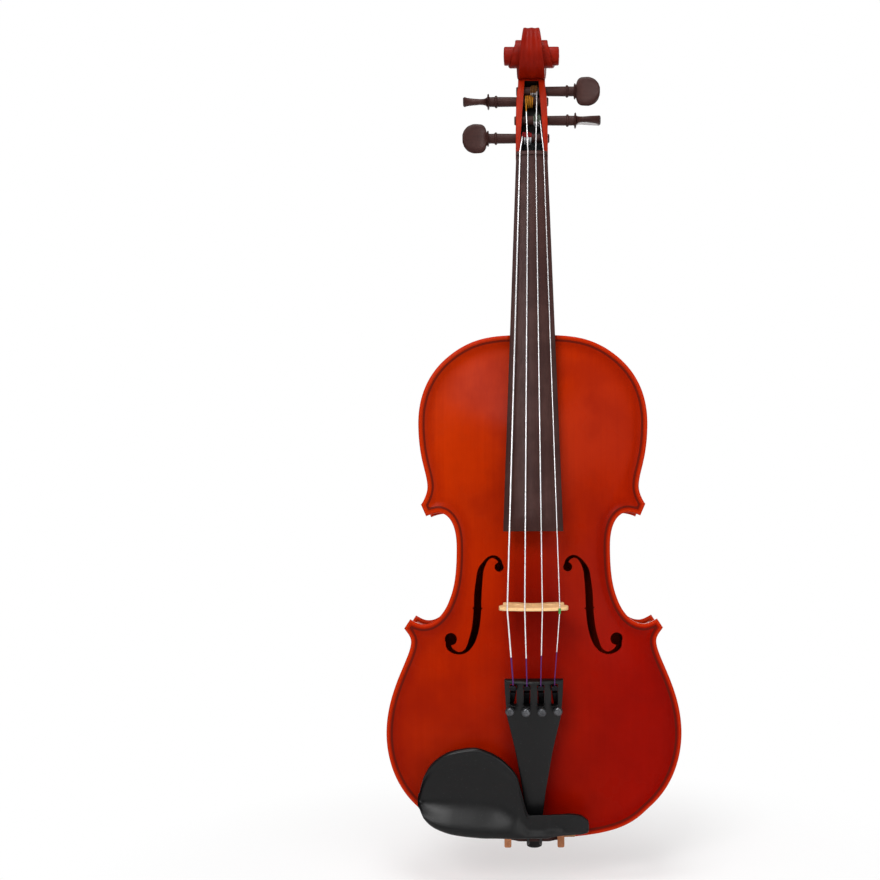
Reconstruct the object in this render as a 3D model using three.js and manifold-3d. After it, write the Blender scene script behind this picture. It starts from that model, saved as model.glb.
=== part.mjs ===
// Viola with its fittings and chin rest, in millimetres, +Z along the strings to the scroll.
// The strings and the front face -Y, and +X is the right-hand side seen from the front.
// The pieces are laid out from the lower edge of the body (z = 0) and the glued face of the
// top plate (y = 0); the last group moves the origin to the seat under the scroll.
import * as THREE from 'three';
import { mergeVertices } from 'three/addons/utils/BufferGeometryUtils.js';
import Module from 'manifold-3d';

const wasm = await Module();
wasm.setup();

// Clearance between pieces that touch, and the overrun of every cutting shape
const fit = 0.3;
const overrun = 2;

// Body
const bodyLength = 394;
const upperBoutWidth = 179.6;
const waistWidth = 120.2;
const lowerBoutWidth = 231.2;
const ribHeight = 36;
const ribWall = 1.2;
const plateOverhang = 3;
const plateEdge = 4;
const plateWall = 3;
const topArchHeight = 17;
const backArchHeight = 15.5;
const edgeFlatWidth = 3.5;
const channelDistance = 9;
const channelDepth = 0.9;
const liningDepth = 8;
const liningWall = 2.2;
const blockWidth = 56;
const blockDepth = 17;
const cornerBlockReach = 24;
const buttonWidth = 20.4;
const buttonLength = 14.5;

// Sound holes
const holeLength = 77.9;
const holeSpacing = 85.6;
const upperEyeDiameter = 7.1;
const lowerEyeDiameter = 9.7;

// Bass bar and sound post
const barLength = 280;
const barWidth = 5.5;
const barDepth = 10;
const barOffset = 17;
const postDiameter = 6.2;
const postOffset = 17.5;
const postSetback = 5;

// Neck, fingerboard and nut
const neckLength = 142.2;
const neckOverstand = 7;
const neckRise = 17.8;
const neckDepthAtNut = 14;
const neckDepthAtHeel = 16.5;
const mortiseDepth = 7;
const heelSweep = 27;
const fingerboardLength = 296.2;
const fingerboardEdge = 5;
const fingerboardEndWidth = 45.2;
const nutWidth = 24.8;
const nutThickness = 4;
const nutProud = 0.7;
const nutFall = 1.4;
const stringRadius = 46;

// Head
const headLength = 109.7;
const headDepth = 50;
const eyeRise = 88.4;
const eyeSetback = 23.5;
const voluteRadius = 21.3;
const voluteWidth = 44.4;
const pegboxWidth = 25.6;
const cavityWidthAtNut = 19.4;
const cavityWidthAtThroat = 11.4;
const pegboxFloor = 4.6;

// Pegs
const pegShaftDiameter = 7.6;
const pegEndDiameter = 6.8;
const pegEndProud = 1.4;
const pegReach = 55.6;
const pegHeadLength = 19.6;
const pegHeadWidth = 23.4;
const pegHeadThickness = 7.8;
const pegCollarDiameter = 12.4;
const pegRingDiameter = 9.6;

// Bridge
const stopShare = 0.5345;
const bridgeWidth = 52.5;
const bridgeHeight = 38;
const bridgeThickness = 4.2;
const bridgeTopThickness = 2;

// Strings
const nutStringSpan = 18.6;
const bridgeStringSpan = 38.7;
const windingPitchGap = 0.45;
const windingTurns = 4;

// Tailpiece and fine tuners
const tailpieceSetback = 13;
const tailpieceLength = 119;
const tailpieceWidth = 44.2;
const tailpieceEdge = 3.5;
const tailpieceCrownRadius = 62;
const tailpieceTopDrop = 12;
const tailpieceEndHeight = 12;
const tunerSlotSpan = 31;
const tunerScrewSpan = 36;
const tunerSlotWidth = 5;
const tunerSlotStart = 3;
const tunerSlotLength = 17;
const tunerPivotDistance = 7.5;
const tunerPivotHeight = 2.2;
const tunerPinDiameter = 1.6;
const tunerScrewDistance = 22.6;
const tunerScrewDiameter = 2.4;
const tunerHeadDiameter = 6.4;
const tunerHeadHeight = 3.2;
const tunerTravel = 3;
const leverWidth = 4;
const leverBossDiameter = 4.4;
const leverArmDrop = 3.4;
const leverArmThickness = 1.8;
const leverHookHeight = 6.4;

// Saddle, tail gut and end button
const saddleWidth = 36;
const saddleLength = 7;
const saddleHeight = 8.2;
const gutDiameter = 2.2;
const endButtonReach = 12.5;
const endButtonDiameter = 12.4;
const endButtonNeckDiameter = 7;
const endButtonCollarDiameter = 11;
const endButtonShankLength = 20;

// Chin rest and its clamp
const chinRestWidth = 131;
const chinRestDepth = 70;
const chinRestHeight = 29;
const chinRestEdge = 7.4;
const tailpieceClearance = 2;
const corkThickness = 2.6;
const corkLength = 64;
const corkWidth = 11;
const clampSpan = 41.2;
const clampRodDiameter = 3.2;
const clampBarrelDiameter = 5;
const clampBarrelLength = 23;
const clampFootWidth = 5.4;
const clampFootLength = 16;
const clampFootThickness = 1.8;
const clampStandOff = 3.9;
const clampRodEngagement = 11;
const bracketWidth = 47;
const bracketLip = 10;
const bracketThickness = 2.4;

// Seat under the scroll, where the viola hangs
const hangerDrop = 1;

// Places worked out from the sizes
const bridgeZ = bodyLength * (1 - stopShare);
const nutZ = bodyLength + neckLength;
const neckFaceAtBody = -(plateEdge + neckOverstand);
const neckSlope = neckRise / neckLength;
const fingerboardEndZ = nutZ - fingerboardLength;
const eyeY = eyeSetback;
const eyeZ = nutZ + eyeRise;
const buttonY = ribHeight / 2;

const V = (x, y, z) => new THREE.Vector3(x, y, z);
const lerp = THREE.MathUtils.lerp;

// Straight-line interpolation in a table of [place, value] shares
function along(table, place) {
  let i = 1;
  while (i < table.length - 1 && table[i][0] < place) i += 1;
  const [a, b] = [table[i - 1], table[i]];
  const t = THREE.MathUtils.clamp((place - a[0]) / (b[0] - a[0]), 0, 1);
  return lerp(a[1], b[1], t);
}

function bare(geometry) {
  const copy = geometry.clone();
  copy.deleteAttribute('normal');
  copy.deleteAttribute('uv');
  return mergeVertices(copy);
}

function toSolid(geometry) {
  const merged = bare(geometry);
  return new wasm.Manifold(new wasm.Mesh({
    numProp: 3,
    vertProperties: new Float32Array(merged.attributes.position.array),
    triVerts: new Uint32Array(merged.index.array),
  }));
}

function fromSolid(solid) {
  const mesh = solid.getMesh();
  const geometry = new THREE.BufferGeometry();
  geometry.setAttribute('position', new THREE.BufferAttribute(new Float32Array(mesh.vertProperties), 3));
  geometry.setIndex(Array.from(mesh.triVerts));
  return geometry;
}

function cut(geometry, ...tools) {
  return fromSolid(tools.reduce((left, tool) => left.subtract(toSolid(tool)), toSolid(geometry)));
}

function join(geometry, ...others) {
  return fromSolid(others.reduce((sum, other) => sum.add(toSolid(other)), toSolid(geometry)));
}

// Closed geometry of points and triangles, turned so that its faces point out
function closedGeometry(points, triangles) {
  const volume = triangles.reduce((sum, [a, b, c]) =>
    sum + points[a].dot(points[b].clone().cross(points[c])), 0);
  const geometry = new THREE.BufferGeometry();
  geometry.setFromPoints(points);
  geometry.setIndex(triangles.flatMap(([a, b, c]) => (volume > 0 ? [a, b, c] : [a, c, b])));
  return bare(geometry);
}

// A skin over a row of closed rings with as many points each, capped at both ends
function loft(rings) {
  const count = rings[0].length;
  const points = rings.flat();
  const triangles = [];
  for (let r = 0; r < rings.length - 1; r += 1) {
    for (let i = 0; i < count; i += 1) {
      const j = (i + 1) % count;
      const [a, b, c, d] = [r * count + i, r * count + j, (r + 1) * count + j, (r + 1) * count + i];
      triangles.push([a, b, c], [a, c, d]);
    }
  }
  for (const [r, flip] of [[0, true], [rings.length - 1, false]]) {
    const centre = rings[r].reduce((sum, p) => sum.add(p), V(0, 0, 0)).divideScalar(count);
    points.push(centre);
    for (let i = 0; i < count; i += 1) {
      const [a, b] = [r * count + i, r * count + ((i + 1) % count)];
      triangles.push(flip ? [points.length - 1, b, a] : [points.length - 1, a, b]);
    }
  }
  return closedGeometry(points, triangles);
}

// A tube of even radius through a row of points
function tube(points, radius, sides) {
  const rings = [];
  let side = V(1, 0, 0);
  points.forEach((point, i) => {
    const before = points[Math.max(i - 1, 0)];
    const after = points[Math.min(i + 1, points.length - 1)];
    const ahead = after.clone().sub(before).normalize();
    side = side.clone().addScaledVector(ahead, -side.dot(ahead)).normalize();
    const up = ahead.clone().cross(side);
    rings.push(Array.from({ length: sides }, (_, k) => {
      const angle = (2 * Math.PI * k) / sides;
      return point.clone().addScaledVector(side, radius * Math.cos(angle))
        .addScaledVector(up, radius * Math.sin(angle));
    }));
  });
  return loft(rings);
}

// A flat shape whose outline runs anticlockwise, as its holes need
function flatShape(outline, holes = []) {
  const clockwise = THREE.ShapeUtils.isClockWise(outline);
  const shape = new THREE.Shape(clockwise ? [...outline].reverse() : outline);
  shape.holes = holes.map((hole) => new THREE.Path(hole));
  return shape;
}

// A flat outline in X and Z, carried along Y
function prism(outline, yFrom, yTo) {
  const geometry = new THREE.ExtrudeGeometry(flatShape(outline), { depth: yTo - yFrom, bevelEnabled: false });
  return bare(geometry.rotateX(Math.PI / 2).translate(0, yTo, 0));
}

function circle(radius, sides) {
  return Array.from({ length: sides }, (_, k) => {
    const angle = (2 * Math.PI * k) / sides;
    return new THREE.Vector2(radius * Math.cos(angle), radius * Math.sin(angle));
  });
}

function box(xFrom, xTo, yFrom, yTo, zFrom, zTo) {
  const geometry = new THREE.BoxGeometry(xTo - xFrom, yTo - yFrom, zTo - zFrom);
  return geometry.translate((xFrom + xTo) / 2, (yFrom + yTo) / 2, (zFrom + zTo) / 2);
}

function rodAlongX(radius, xFrom, xTo, y, z, sides) {
  const geometry = new THREE.CylinderGeometry(radius, radius, xTo - xFrom, sides);
  return geometry.rotateZ(Math.PI / 2).translate((xFrom + xTo) / 2, y, z);
}

function rodAlongY(radius, yFrom, yTo, x, z, sides) {
  const geometry = new THREE.CylinderGeometry(radius, radius, yTo - yFrom, sides);
  return geometry.translate(x, (yFrom + yTo) / 2, z);
}

const roundSides = 16;

// Outline of the body. Each row is a chain of cubic curves in shares: across, of half the width
// named beside it, and along, of the body's length from its lower edge.
const upperBoutShares = [
  [0, 1], [0.302, 1], [0.507, 1.0003], [0.735, 0.9579],
  [0.915, 0.9246], [1, 0.878], [1, 0.8249],
  [1, 0.7525], [0.922, 0.7269], [0.922, 0.698],
  [0.922, 0.687], [0.953, 0.6713], [0.979, 0.6635],
];
const waistShares = [
  [0.857, 0.6404], [0.735, 0.6447], [0.558, 0.6472], [0.5, 0.6472],
  [0.385, 0.6472], [0, 0.6406], [0, 0.5787],
  [0, 0.5203], [0.055, 0.4949], [0.157, 0.469],
  [0.255, 0.4442], [0.43, 0.4254], [0.632, 0.4254],
  [0.73, 0.4254], [0.814, 0.4315], [0.886, 0.4355],
];
const lowerBoutShares = [
  [0.877, 0.4173], [0.855, 0.4081], [0.831, 0.4012], [0.831, 0.3909],
  [0.831, 0.3586], [1, 0.2959], [1, 0.2081],
  [1, 0.1843], [0.984, 0.1142], [0.792, 0.0635],
  [0.68, 0.034], [0.609, 0], [0, 0],
];
const upperBoutSteps = [4, 4, 3, 2];
const waistSteps = [2, 3, 3, 2, 2];
const lowerBoutSteps = [1, 5, 4, 4];

function curveChain(shares, steps, acrossOf) {
  const controls = shares.map(([across, up]) => new THREE.Vector2(acrossOf(across, up), up * bodyLength));
  const points = [controls[0]];
  steps.forEach((count, i) => {
    const curve = new THREE.CubicBezierCurve(...controls.slice(3 * i, 3 * i + 4));
    points.push(...curve.getPoints(count).slice(1));
  });
  return points;
}

const halfUpper = upperBoutWidth / 2;
const halfWaist = waistWidth / 2;
const halfLower = lowerBoutWidth / 2;
const upperCorner = halfUpper * upperBoutShares.at(-1)[0];
const lowerCorner = halfLower * lowerBoutShares[0][0];
const waistMiddleShare = waistShares[6][1];
const upperBout = curveChain(upperBoutShares, upperBoutSteps, (a) => a * halfUpper);
const waist = curveChain(waistShares, waistSteps, (a, up) =>
  lerp(halfWaist, up > waistMiddleShare ? upperCorner : lowerCorner, a));
const lowerBout = curveChain(lowerBoutShares, lowerBoutSteps, (a) => a * halfLower);

// Part of a row of points, shortened by a length at each end
function shorten(points, atStart, atEnd) {
  const trim = (row, length) => {
    let left = length;
    const rest = [...row];
    while (rest.length > 2 && rest[0].distanceTo(rest[1]) <= left) {
      left -= rest[0].distanceTo(rest[1]);
      rest.shift();
    }
    rest[0] = rest[0].clone().lerp(rest[1], left / rest[0].distanceTo(rest[1]));
    return rest;
  };
  return trim(trim(points, atStart).reverse(), atEnd).reverse();
}

// A row of points moved into the body by a distance
function inset(points, distance) {
  return points.map((point, i) => {
    const before = points[Math.max(i - 1, 0)];
    const after = points[Math.min(i + 1, points.length - 1)];
    const ahead = after.clone().sub(before).normalize();
    return new THREE.Vector2(point.x + ahead.y * distance, point.y - ahead.x * distance);
  });
}

// A wall that follows a row of points between two insets, on the right or mirrored to the left
function wall(points, outer, inner, yFrom, yTo, side) {
  const [out, into] = [inset(points, outer), inset(points, inner)];
  return loft(points.map((_, i) => [
    V(side * out[i].x, yFrom, out[i].y), V(side * into[i].x, yFrom, into[i].y),
    V(side * into[i].x, yTo, into[i].y), V(side * out[i].x, yTo, out[i].y),
  ]));
}

function mirrored(points) {
  return points.map((point) => new THREE.Vector2(-point.x, point.y)).reverse();
}

// Plates. Rings run from the edge towards a line down the middle of the body. Each outline
// point has its own end on that line, given here in shares of the body's length.
const spineShares = { top: 0.79, upperCorner: 0.735, lowerCorner: 0.318, bottom: 0.2 };
const outerRingShares = [0.2, 0.42, 0.68, 1];
const innerRingShares = [0.34, 0.7, 1];
const spineFall = 0.1;
const archRoundness = 2.5;
const archFullness = 1.7;

function spineZ(stretch, i, count) {
  const ends = {
    upper: [spineShares.top, spineShares.upperCorner],
    waist: [spineShares.upperCorner, spineShares.lowerCorner],
    lower: [spineShares.lowerCorner, spineShares.bottom],
  }[stretch];
  return lerp(ends[0], ends[1], (i + (stretch === 'waist' ? 1 : 0)) / (count + (stretch === 'waist' ? 1 : -1)));
}

const halfOutline = [
  ...upperBout.map((p, i) => ({ p, spine: spineZ('upper', i, upperBout.length) * bodyLength })),
  ...waist.map((p, i) => ({ p, spine: spineZ('waist', i, waist.length) * bodyLength })),
  ...lowerBout.map((p, i) => ({ p, spine: spineZ('lower', i, lowerBout.length) * bodyLength })),
];
const fullOutline = [
  ...halfOutline,
  ...halfOutline.slice(1, -1).reverse().map(({ p, spine }) => ({ p: new THREE.Vector2(-p.x, p.y), spine })),
];

// Height of the line down the middle of a plate
function spineHeight(z, archHeight) {
  const middle = ((spineShares.top + spineShares.bottom) / 2) * bodyLength;
  const half = ((spineShares.top - spineShares.bottom) / 2) * bodyLength;
  return archHeight * (1 - spineFall * ((z - middle) / half) ** 2);
}

// Half width of the raised part, which passes the corners by
function raisedHalf(z) {
  const share = z / bodyLength;
  const { top, bottom } = spineShares;
  const half = share < waistMiddleShare
    ? lerp(halfLower, halfWaist, THREE.MathUtils.smoothstep(share, bottom, waistMiddleShare))
    : lerp(halfWaist, halfUpper, THREE.MathUtils.smoothstep(share, waistMiddleShare, top));
  return half - channelDistance;
}

// Height of the arch at a place, from the channel round the edge up to the middle line
function archAt(place, archHeight) {
  const low = spineShares.bottom * bodyLength;
  const high = spineShares.top * bodyLength;
  const near = THREE.MathUtils.clamp(place.y, low, high);
  const end = (near === low ? low : bodyLength - high) - channelDistance;
  const across = Math.abs(place.x) / raisedHalf(near);
  const beyond = Math.abs(place.y - near) / end;
  const out = Math.min((across ** archRoundness + beyond ** archRoundness) ** (1 / archRoundness), 1);
  const rise = Math.cos((out * Math.PI) / 2) ** archFullness;
  return lerp(plateEdge - channelDepth, spineHeight(near, archHeight), rise);
}

// Place on the ray from an outline point, at a distance from the edge
function onRay({ p, spine }, distance) {
  const end = new THREE.Vector2(0, spine);
  return p.clone().lerp(end, distance / p.distanceTo(end));
}

// Both surfaces of a plate as rings of points; height is measured out from the glued face
function plateRings(archHeight) {
  const ring = (distanceOf, heightOf) => fullOutline.map((ray) => {
    const place = onRay(ray, distanceOf(ray));
    return V(place.x, heightOf(place), place.y);
  });
  const inwards = (share) => ({ p, spine }) =>
    lerp(channelDistance, p.distanceTo(new THREE.Vector2(0, spine)), share);
  const arch = (place) => archAt(place, archHeight);
  return {
    outer: [
      ring(() => 0, () => plateEdge), ring(() => edgeFlatWidth, () => plateEdge), ring(inwards(0), arch),
      ...outerRingShares.map((share) => ring(inwards(share), arch)),
    ],
    inner: [
      ring(() => 0, () => 0), ring(inwards(0), () => 0),
      ...innerRingShares.map((share) => ring(inwards(share), (place) => Math.max(arch(place) - plateWall, 0))),
    ],
  };
}

function ringTriangles(rings, offset) {
  const count = rings[0].length;
  const triangles = [];
  for (let r = 0; r < rings.length - 1; r += 1) {
    for (let i = 0; i < count; i += 1) {
      const j = (i + 1) % count;
      const [a, b, c, d] = [r * count + i, r * count + j, (r + 1) * count + j, (r + 1) * count + i];
      triangles.push([a, b, c], [a, c, d]);
    }
  }
  return triangles.map((triangle) => triangle.map((index) => index + offset));
}

// Points at the same place are made one, and triangles without an area are left out
function welded(points, triangles) {
  const seen = new Map();
  const unique = [];
  const index = points.map((point) => {
    const key = point.toArray().map((value) => Math.round(value * weldScale)).join();
    if (!seen.has(key)) {
      seen.set(key, unique.length);
      unique.push(point);
    }
    return seen.get(key);
  });
  const kept = triangles.map((triangle) => triangle.map((i) => index[i]))
    .filter(([a, b, c]) => a !== b && b !== c && c !== a);
  return closedGeometry(unique, kept);
}
const weldScale = 1e4;

function plateGeometry(archHeight, outwards) {
  const { outer, inner } = plateRings(archHeight);
  const points = [...outer.flat(), ...inner.flat()].map((p) => V(p.x, outwards * p.y, p.z));
  const innerStart = outer.flat().length;
  const count = outer[0].length;
  const rim = [];
  for (let i = 0; i < count; i += 1) {
    const j = (i + 1) % count;
    rim.push([i, innerStart + i, innerStart + j], [i, innerStart + j, j]);
  }
  const outside = ringTriangles(outer, 0);
  const inside = ringTriangles(inner, innerStart).map(([a, b, c]) => [a, c, b]);
  return welded(points, [...outside, ...rim, ...inside]);
}

// Height of a plate's outer or inner surface above its glued face at a place
const rounding = 1e-9;

function surfaceHeight(rings, x, z) {
  const points = rings.flat();
  const place = new THREE.Vector2(x, z);
  for (const triangle of ringTriangles(rings, 0)) {
    const [a, b, c] = triangle.map((i) => points[i]);
    const [p, q, r] = [a, b, c].map((point) => new THREE.Vector2(point.x, point.z));
    const area = q.clone().sub(p).cross(r.clone().sub(p));
    const u = q.clone().sub(place).cross(r.clone().sub(place)) / area;
    const v = r.clone().sub(place).cross(p.clone().sub(place)) / area;
    const w = 1 - u - v;
    if (Math.min(u, v, w) > -rounding) return u * a.y + v * b.y + w * c.y;
  }
  return 0;
}

const topRings = plateRings(topArchHeight);
const backRings = plateRings(backArchHeight);
const topOuter = (x, z) => surfaceHeight(topRings.outer, x, z);
const topInner = (x, z) => surfaceHeight(topRings.inner, x, z);
const backInner = (x, z) => surfaceHeight(backRings.inner, x, z);

// Sound holes: the middle line and the width of the slot, in shares of the hole's length,
// from the nick in the middle of the stem
const holeLineShares = [
  [-0.226, 0.399], [-0.214, 0.44], [-0.184, 0.471], [-0.142, 0.484], [-0.1, 0.467], [-0.066, 0.43],
  [-0.024, 0.354], [-0.009, 0.27], [0.006, 0.118], [0.011, -0.034], [0.022, -0.17], [0.04, -0.268],
  [0.063, -0.345], [0.088, -0.402], [0.126, -0.455], [0.192, -0.483], [0.262, -0.463], [0.303, -0.42],
];
const holeWidthShares = [
  0.035, 0.037, 0.034, 0.028, 0.027, 0.035, 0.058, 0.066, 0.075, 0.077, 0.077, 0.074, 0.07, 0.057, 0.038, 0.027,
  0.042, 0.055,
];
const upperEyeShares = [-0.208, 0.38];
const lowerEyeShares = [0.282, -0.344];
const holeMiddleRise = -0.5;

function soundHoleCutters(side) {
  const middle = new THREE.Vector2(holeSpacing / 2, bridgeZ + holeMiddleRise);
  const place = ([a, b]) => new THREE.Vector2(middle.x + a * holeLength, middle.y + b * holeLength);
  const line = new THREE.SplineCurve(holeLineShares.map(place));
  const widths = new THREE.SplineCurve(holeWidthShares.map((w) => new THREE.Vector2(w * holeLength, 0)));
  const steps = 2 * (holeLineShares.length - 1);
  const centre = line.getPoints(steps);
  const half = widths.getPoints(steps).map((w) => w.x / 2);
  const left = [];
  const right = [];
  centre.forEach((point, i) => {
    const ahead = line.getTangent(i / steps);
    left.push(new THREE.Vector2(point.x - ahead.y * half[i], point.y + ahead.x * half[i]));
    right.push(new THREE.Vector2(point.x + ahead.y * half[i], point.y - ahead.x * half[i]));
  });
  const slot = [...left, ...right.reverse()];
  const outline = side > 0 ? slot : mirrored(slot);
  const [upper, lower] = [upperEyeShares, lowerEyeShares].map(place);
  const [yFrom, yTo] = [-(topArchHeight + overrun), overrun];
  return [
    prism(outline, yFrom, yTo),
    rodAlongY(upperEyeDiameter / 2, yFrom, yTo, side * upper.x, upper.y, 12),
    rodAlongY(lowerEyeDiameter / 2, yFrom, yTo, side * lower.x, lower.y, 12),
  ];
}

// Heel of the neck in its mortise: wider at the front than at the button
const fingerboardWidth = (z) => lerp(nutWidth, fingerboardEndWidth, (nutZ - z) / fingerboardLength);
const heelWidth = fingerboardWidth(bodyLength);
const neckFace = (z) => neckFaceAtBody + neckSlope * (z - bodyLength);

function mortise() {
  const z = bodyLength - mortiseDepth - fit;
  const yFront = neckFaceAtBody - overrun;
  const [wide, narrow] = [heelWidth / 2 + fit, buttonWidth / 2 + fit];
  const ring = (zAt) => [V(-wide, yFront, zAt), V(wide, yFront, zAt), V(narrow, ribHeight + fit, zAt),
    V(-narrow, ribHeight + fit, zAt)];
  return loft([ring(z), ring(bodyLength + buttonLength)]);
}

const saddleOut = fit + ribWall;

// The top plate without its holes, which also shapes what stands on it or hangs under it
const plainTop = plateGeometry(topArchHeight, -1);
const plainBack = plateGeometry(backArchHeight, 1);

function topPlate() {
  const saddleNotch = box(-(saddleWidth / 2 + fit), saddleWidth / 2 + fit, -(saddleHeight + overrun), overrun,
    -saddleOut, saddleLength - saddleOut + fit + fit);
  return cut(plainTop, mortise(), saddleNotch, ...soundHoleCutters(1), ...soundHoleCutters(-1));
}

function backPlate() {
  const half = buttonWidth / 2;
  const tongue = new THREE.Shape();
  const shoulder = bodyLength + buttonLength - half;
  tongue.moveTo(-half, bodyLength - channelDistance);
  tongue.lineTo(half, bodyLength - channelDistance);
  tongue.lineTo(half, shoulder);
  tongue.absarc(0, shoulder, half, 0, Math.PI, false);
  const outline = tongue.extractPoints(8).shape;
  return join(plainBack, prism(outline, 0, plateEdge)).translate(0, ribHeight, 0);
}

// Ribs
const ribInner = plateOverhang + ribWall;
const ribsFrom = fit;
const ribsTo = ribHeight - fit;
const endButtonBore = endButtonNeckDiameter / 2 + fit;

const ribLines = {
  upper: shorten(upperBout, heelWidth / 2 + 2 * fit, plateOverhang),
  waist: shorten(waist, plateOverhang, plateOverhang),
  lower: shorten(lowerBout, plateOverhang, fit),
};

function endButtonCutter() {
  const length = blockDepth + 2 * ribInner;
  const geometry = new THREE.CylinderGeometry(endButtonBore, endButtonBore, 2 * length, roundSides);
  return geometry.rotateX(Math.PI / 2).translate(0, buttonY, 0);
}

function rib(stretch, side) {
  const body = wall(ribLines[stretch], plateOverhang, ribInner, ribsFrom, ribsTo, side);
  return stretch === 'lower' ? cut(body, endButtonCutter()) : body;
}

// Space taken by a rib and what lies outside it, for cutting blocks
function ribKeepOut(points, side) {
  return wall(points, -2 * plateOverhang, ribInner + fit, -overrun, ribHeight + overrun, side);
}

function upperBlock() {
  const front = bodyLength - plateOverhang;
  const body = box(-blockWidth / 2, blockWidth / 2, ribsFrom, ribsTo, front - ribWall - blockDepth, front);
  const line = shorten(upperBout, 0, bodyLength / 4);
  return cut(body, ribKeepOut(line, 1), ribKeepOut(line, -1), mortise());
}

function lowerBlock() {
  const body = box(-blockWidth / 2, blockWidth / 2, ribsFrom, ribsTo, plateOverhang, ribInner + blockDepth);
  const line = shorten(lowerBout, bodyLength / 4, 0);
  return cut(body, ribKeepOut(line, 1), ribKeepOut(line, -1), endButtonCutter());
}

function cornerBlock(isUpper, side) {
  const bout = isUpper ? [...upperBout].reverse() : lowerBout;
  const middle = isUpper ? waist : [...waist].reverse();
  const near = plateOverhang + fit;
  const onBout = shorten(bout, near, bodyLength / 8);
  const onWaist = shorten(middle, near, bodyLength / 16);
  const within = (row) => row.filter((p) => p.distanceTo(row[0]) < cornerBlockReach);
  const [boutSide, waistSide] = [within(onBout), within(onWaist)];
  const [a, b] = [boutSide.at(-1), waistSide.at(-1)];
  const back = new THREE.Vector2((a.x + b.x) / 2 - ribInner, (a.y + b.y) / 2);
  const outline = [...boutSide, back, ...waistSide.reverse()];
  const body = prism(side > 0 ? outline : mirrored(outline), ribsFrom, ribsTo);
  const boutLine = isUpper ? upperBout : lowerBout;
  return cut(body, ribKeepOut(boutLine, side), ribKeepOut(waist, side));
}

// Linings run between the blocks along the ribs' edges, at the top and at the back
const liningGap = 1.8;
const atBlock = blockWidth / 2 + liningGap;
const atCorner = cornerBlockReach + plateOverhang + liningGap;
const liningLines = {
  upper: shorten(upperBout, atBlock, atCorner),
  waist: shorten(waist, atCorner, atCorner),
  lower: shorten(lowerBout, atCorner, atBlock),
};

function lining(stretch, side, atTop) {
  const outer = ribInner + fit;
  const from = atTop ? ribsFrom : ribsTo - liningDepth;
  return wall(liningLines[stretch], outer, outer + liningWall, from, from + liningDepth, side);
}

// The bar follows the inside of the top plate and is deepest in the middle. Its upper face is
// drawn inside the plate and cut away by the plate itself, a clearance lower.
const barDepthShares = [[0, 0.25], [0.12, 0.45], [0.3, 0.8], [0.5, 1], [0.7, 0.8], [0.88, 0.45], [1, 0.25]];
const barSteps = 16;
const barMiddleShare = 0.495;

function bassBar() {
  const from = barMiddleShare * bodyLength - barLength / 2;
  const body = loft(Array.from({ length: barSteps + 1 }, (_, i) => {
    const z = from + (i / barSteps) * barLength;
    const inside = -topInner(-barOffset, z);
    const above = inside - plateWall / 4;
    const below = inside + fit + along(barDepthShares, i / barSteps) * barDepth;
    const [left, right] = [-barOffset - barWidth / 2, -barOffset + barWidth / 2];
    return [V(left, above, z), V(right, above, z), V(right, below, z), V(left, below, z)];
  }));
  return cut(body, plainTop.clone().translate(0, fit, 0));
}

function soundPost() {
  const z = bridgeZ - postSetback;
  const radius = postDiameter / 2;
  const from = -topInner(postOffset, z) - plateWall / 2;
  const to = ribHeight + backInner(postOffset, z) + plateWall / 2;
  return cut(rodAlongY(radius, from, to, postOffset, z, 12), plainTop.clone().translate(0, fit, 0),
    plainBack.clone().translate(0, ribHeight - fit, 0));
}

// Neck: rings along Z with a flat face in front and a round back
const neckStationShares = [0.28, 0.5, 0.75, 0.94, 1.02];
const heelCurveShares = [0.12, 0.3, 0.55, 0.8];
const neckRingSteps = 12;
const shaftRoundness = 2.15;
const heelRoundness = 6;

function neckRing(z) {
  const heelEnd = bodyLength + buttonLength;
  const t = THREE.MathUtils.clamp((z - heelEnd) / heelSweep, 0, 1);
  const heel = 1 - Math.sqrt(1 - (1 - t) ** 2);
  const length = THREE.MathUtils.clamp((z - bodyLength) / neckLength, 0, 1);
  const shaftDepth = lerp(neckDepthAtHeel, neckDepthAtNut, length);
  const face = neckFace(z);
  const depth = lerp(shaftDepth, ribHeight - fit - face, heel);
  const roundness = lerp(shaftRoundness, heelRoundness, heel);
  const wide = fingerboardWidth(Math.max(z, bodyLength)) / 2;
  return Array.from({ length: neckRingSteps + 1 }, (_, i) => {
    const angle = (Math.PI * i) / neckRingSteps;
    const down = i % neckRingSteps ? Math.sin(angle) ** (2 / roundness) : 0;
    const out = Math.abs(Math.cos(angle)) ** (2 / roundness) * Math.sign(Math.cos(angle));
    const half = lerp(wide, lerp(wide, buttonWidth / 2, down), heel);
    return V(out * half, face + depth * down, z);
  });
}

function neckShaft() {
  const heelEnd = bodyLength + buttonLength;
  const stations = [
    bodyLength - mortiseDepth, bodyLength, heelEnd,
    ...heelCurveShares.map((share) => heelEnd + share * heelSweep),
    ...neckStationShares.map((share) => lerp(heelEnd, nutZ, share)),
  ];
  return loft(stations.map(neckRing));
}

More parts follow.
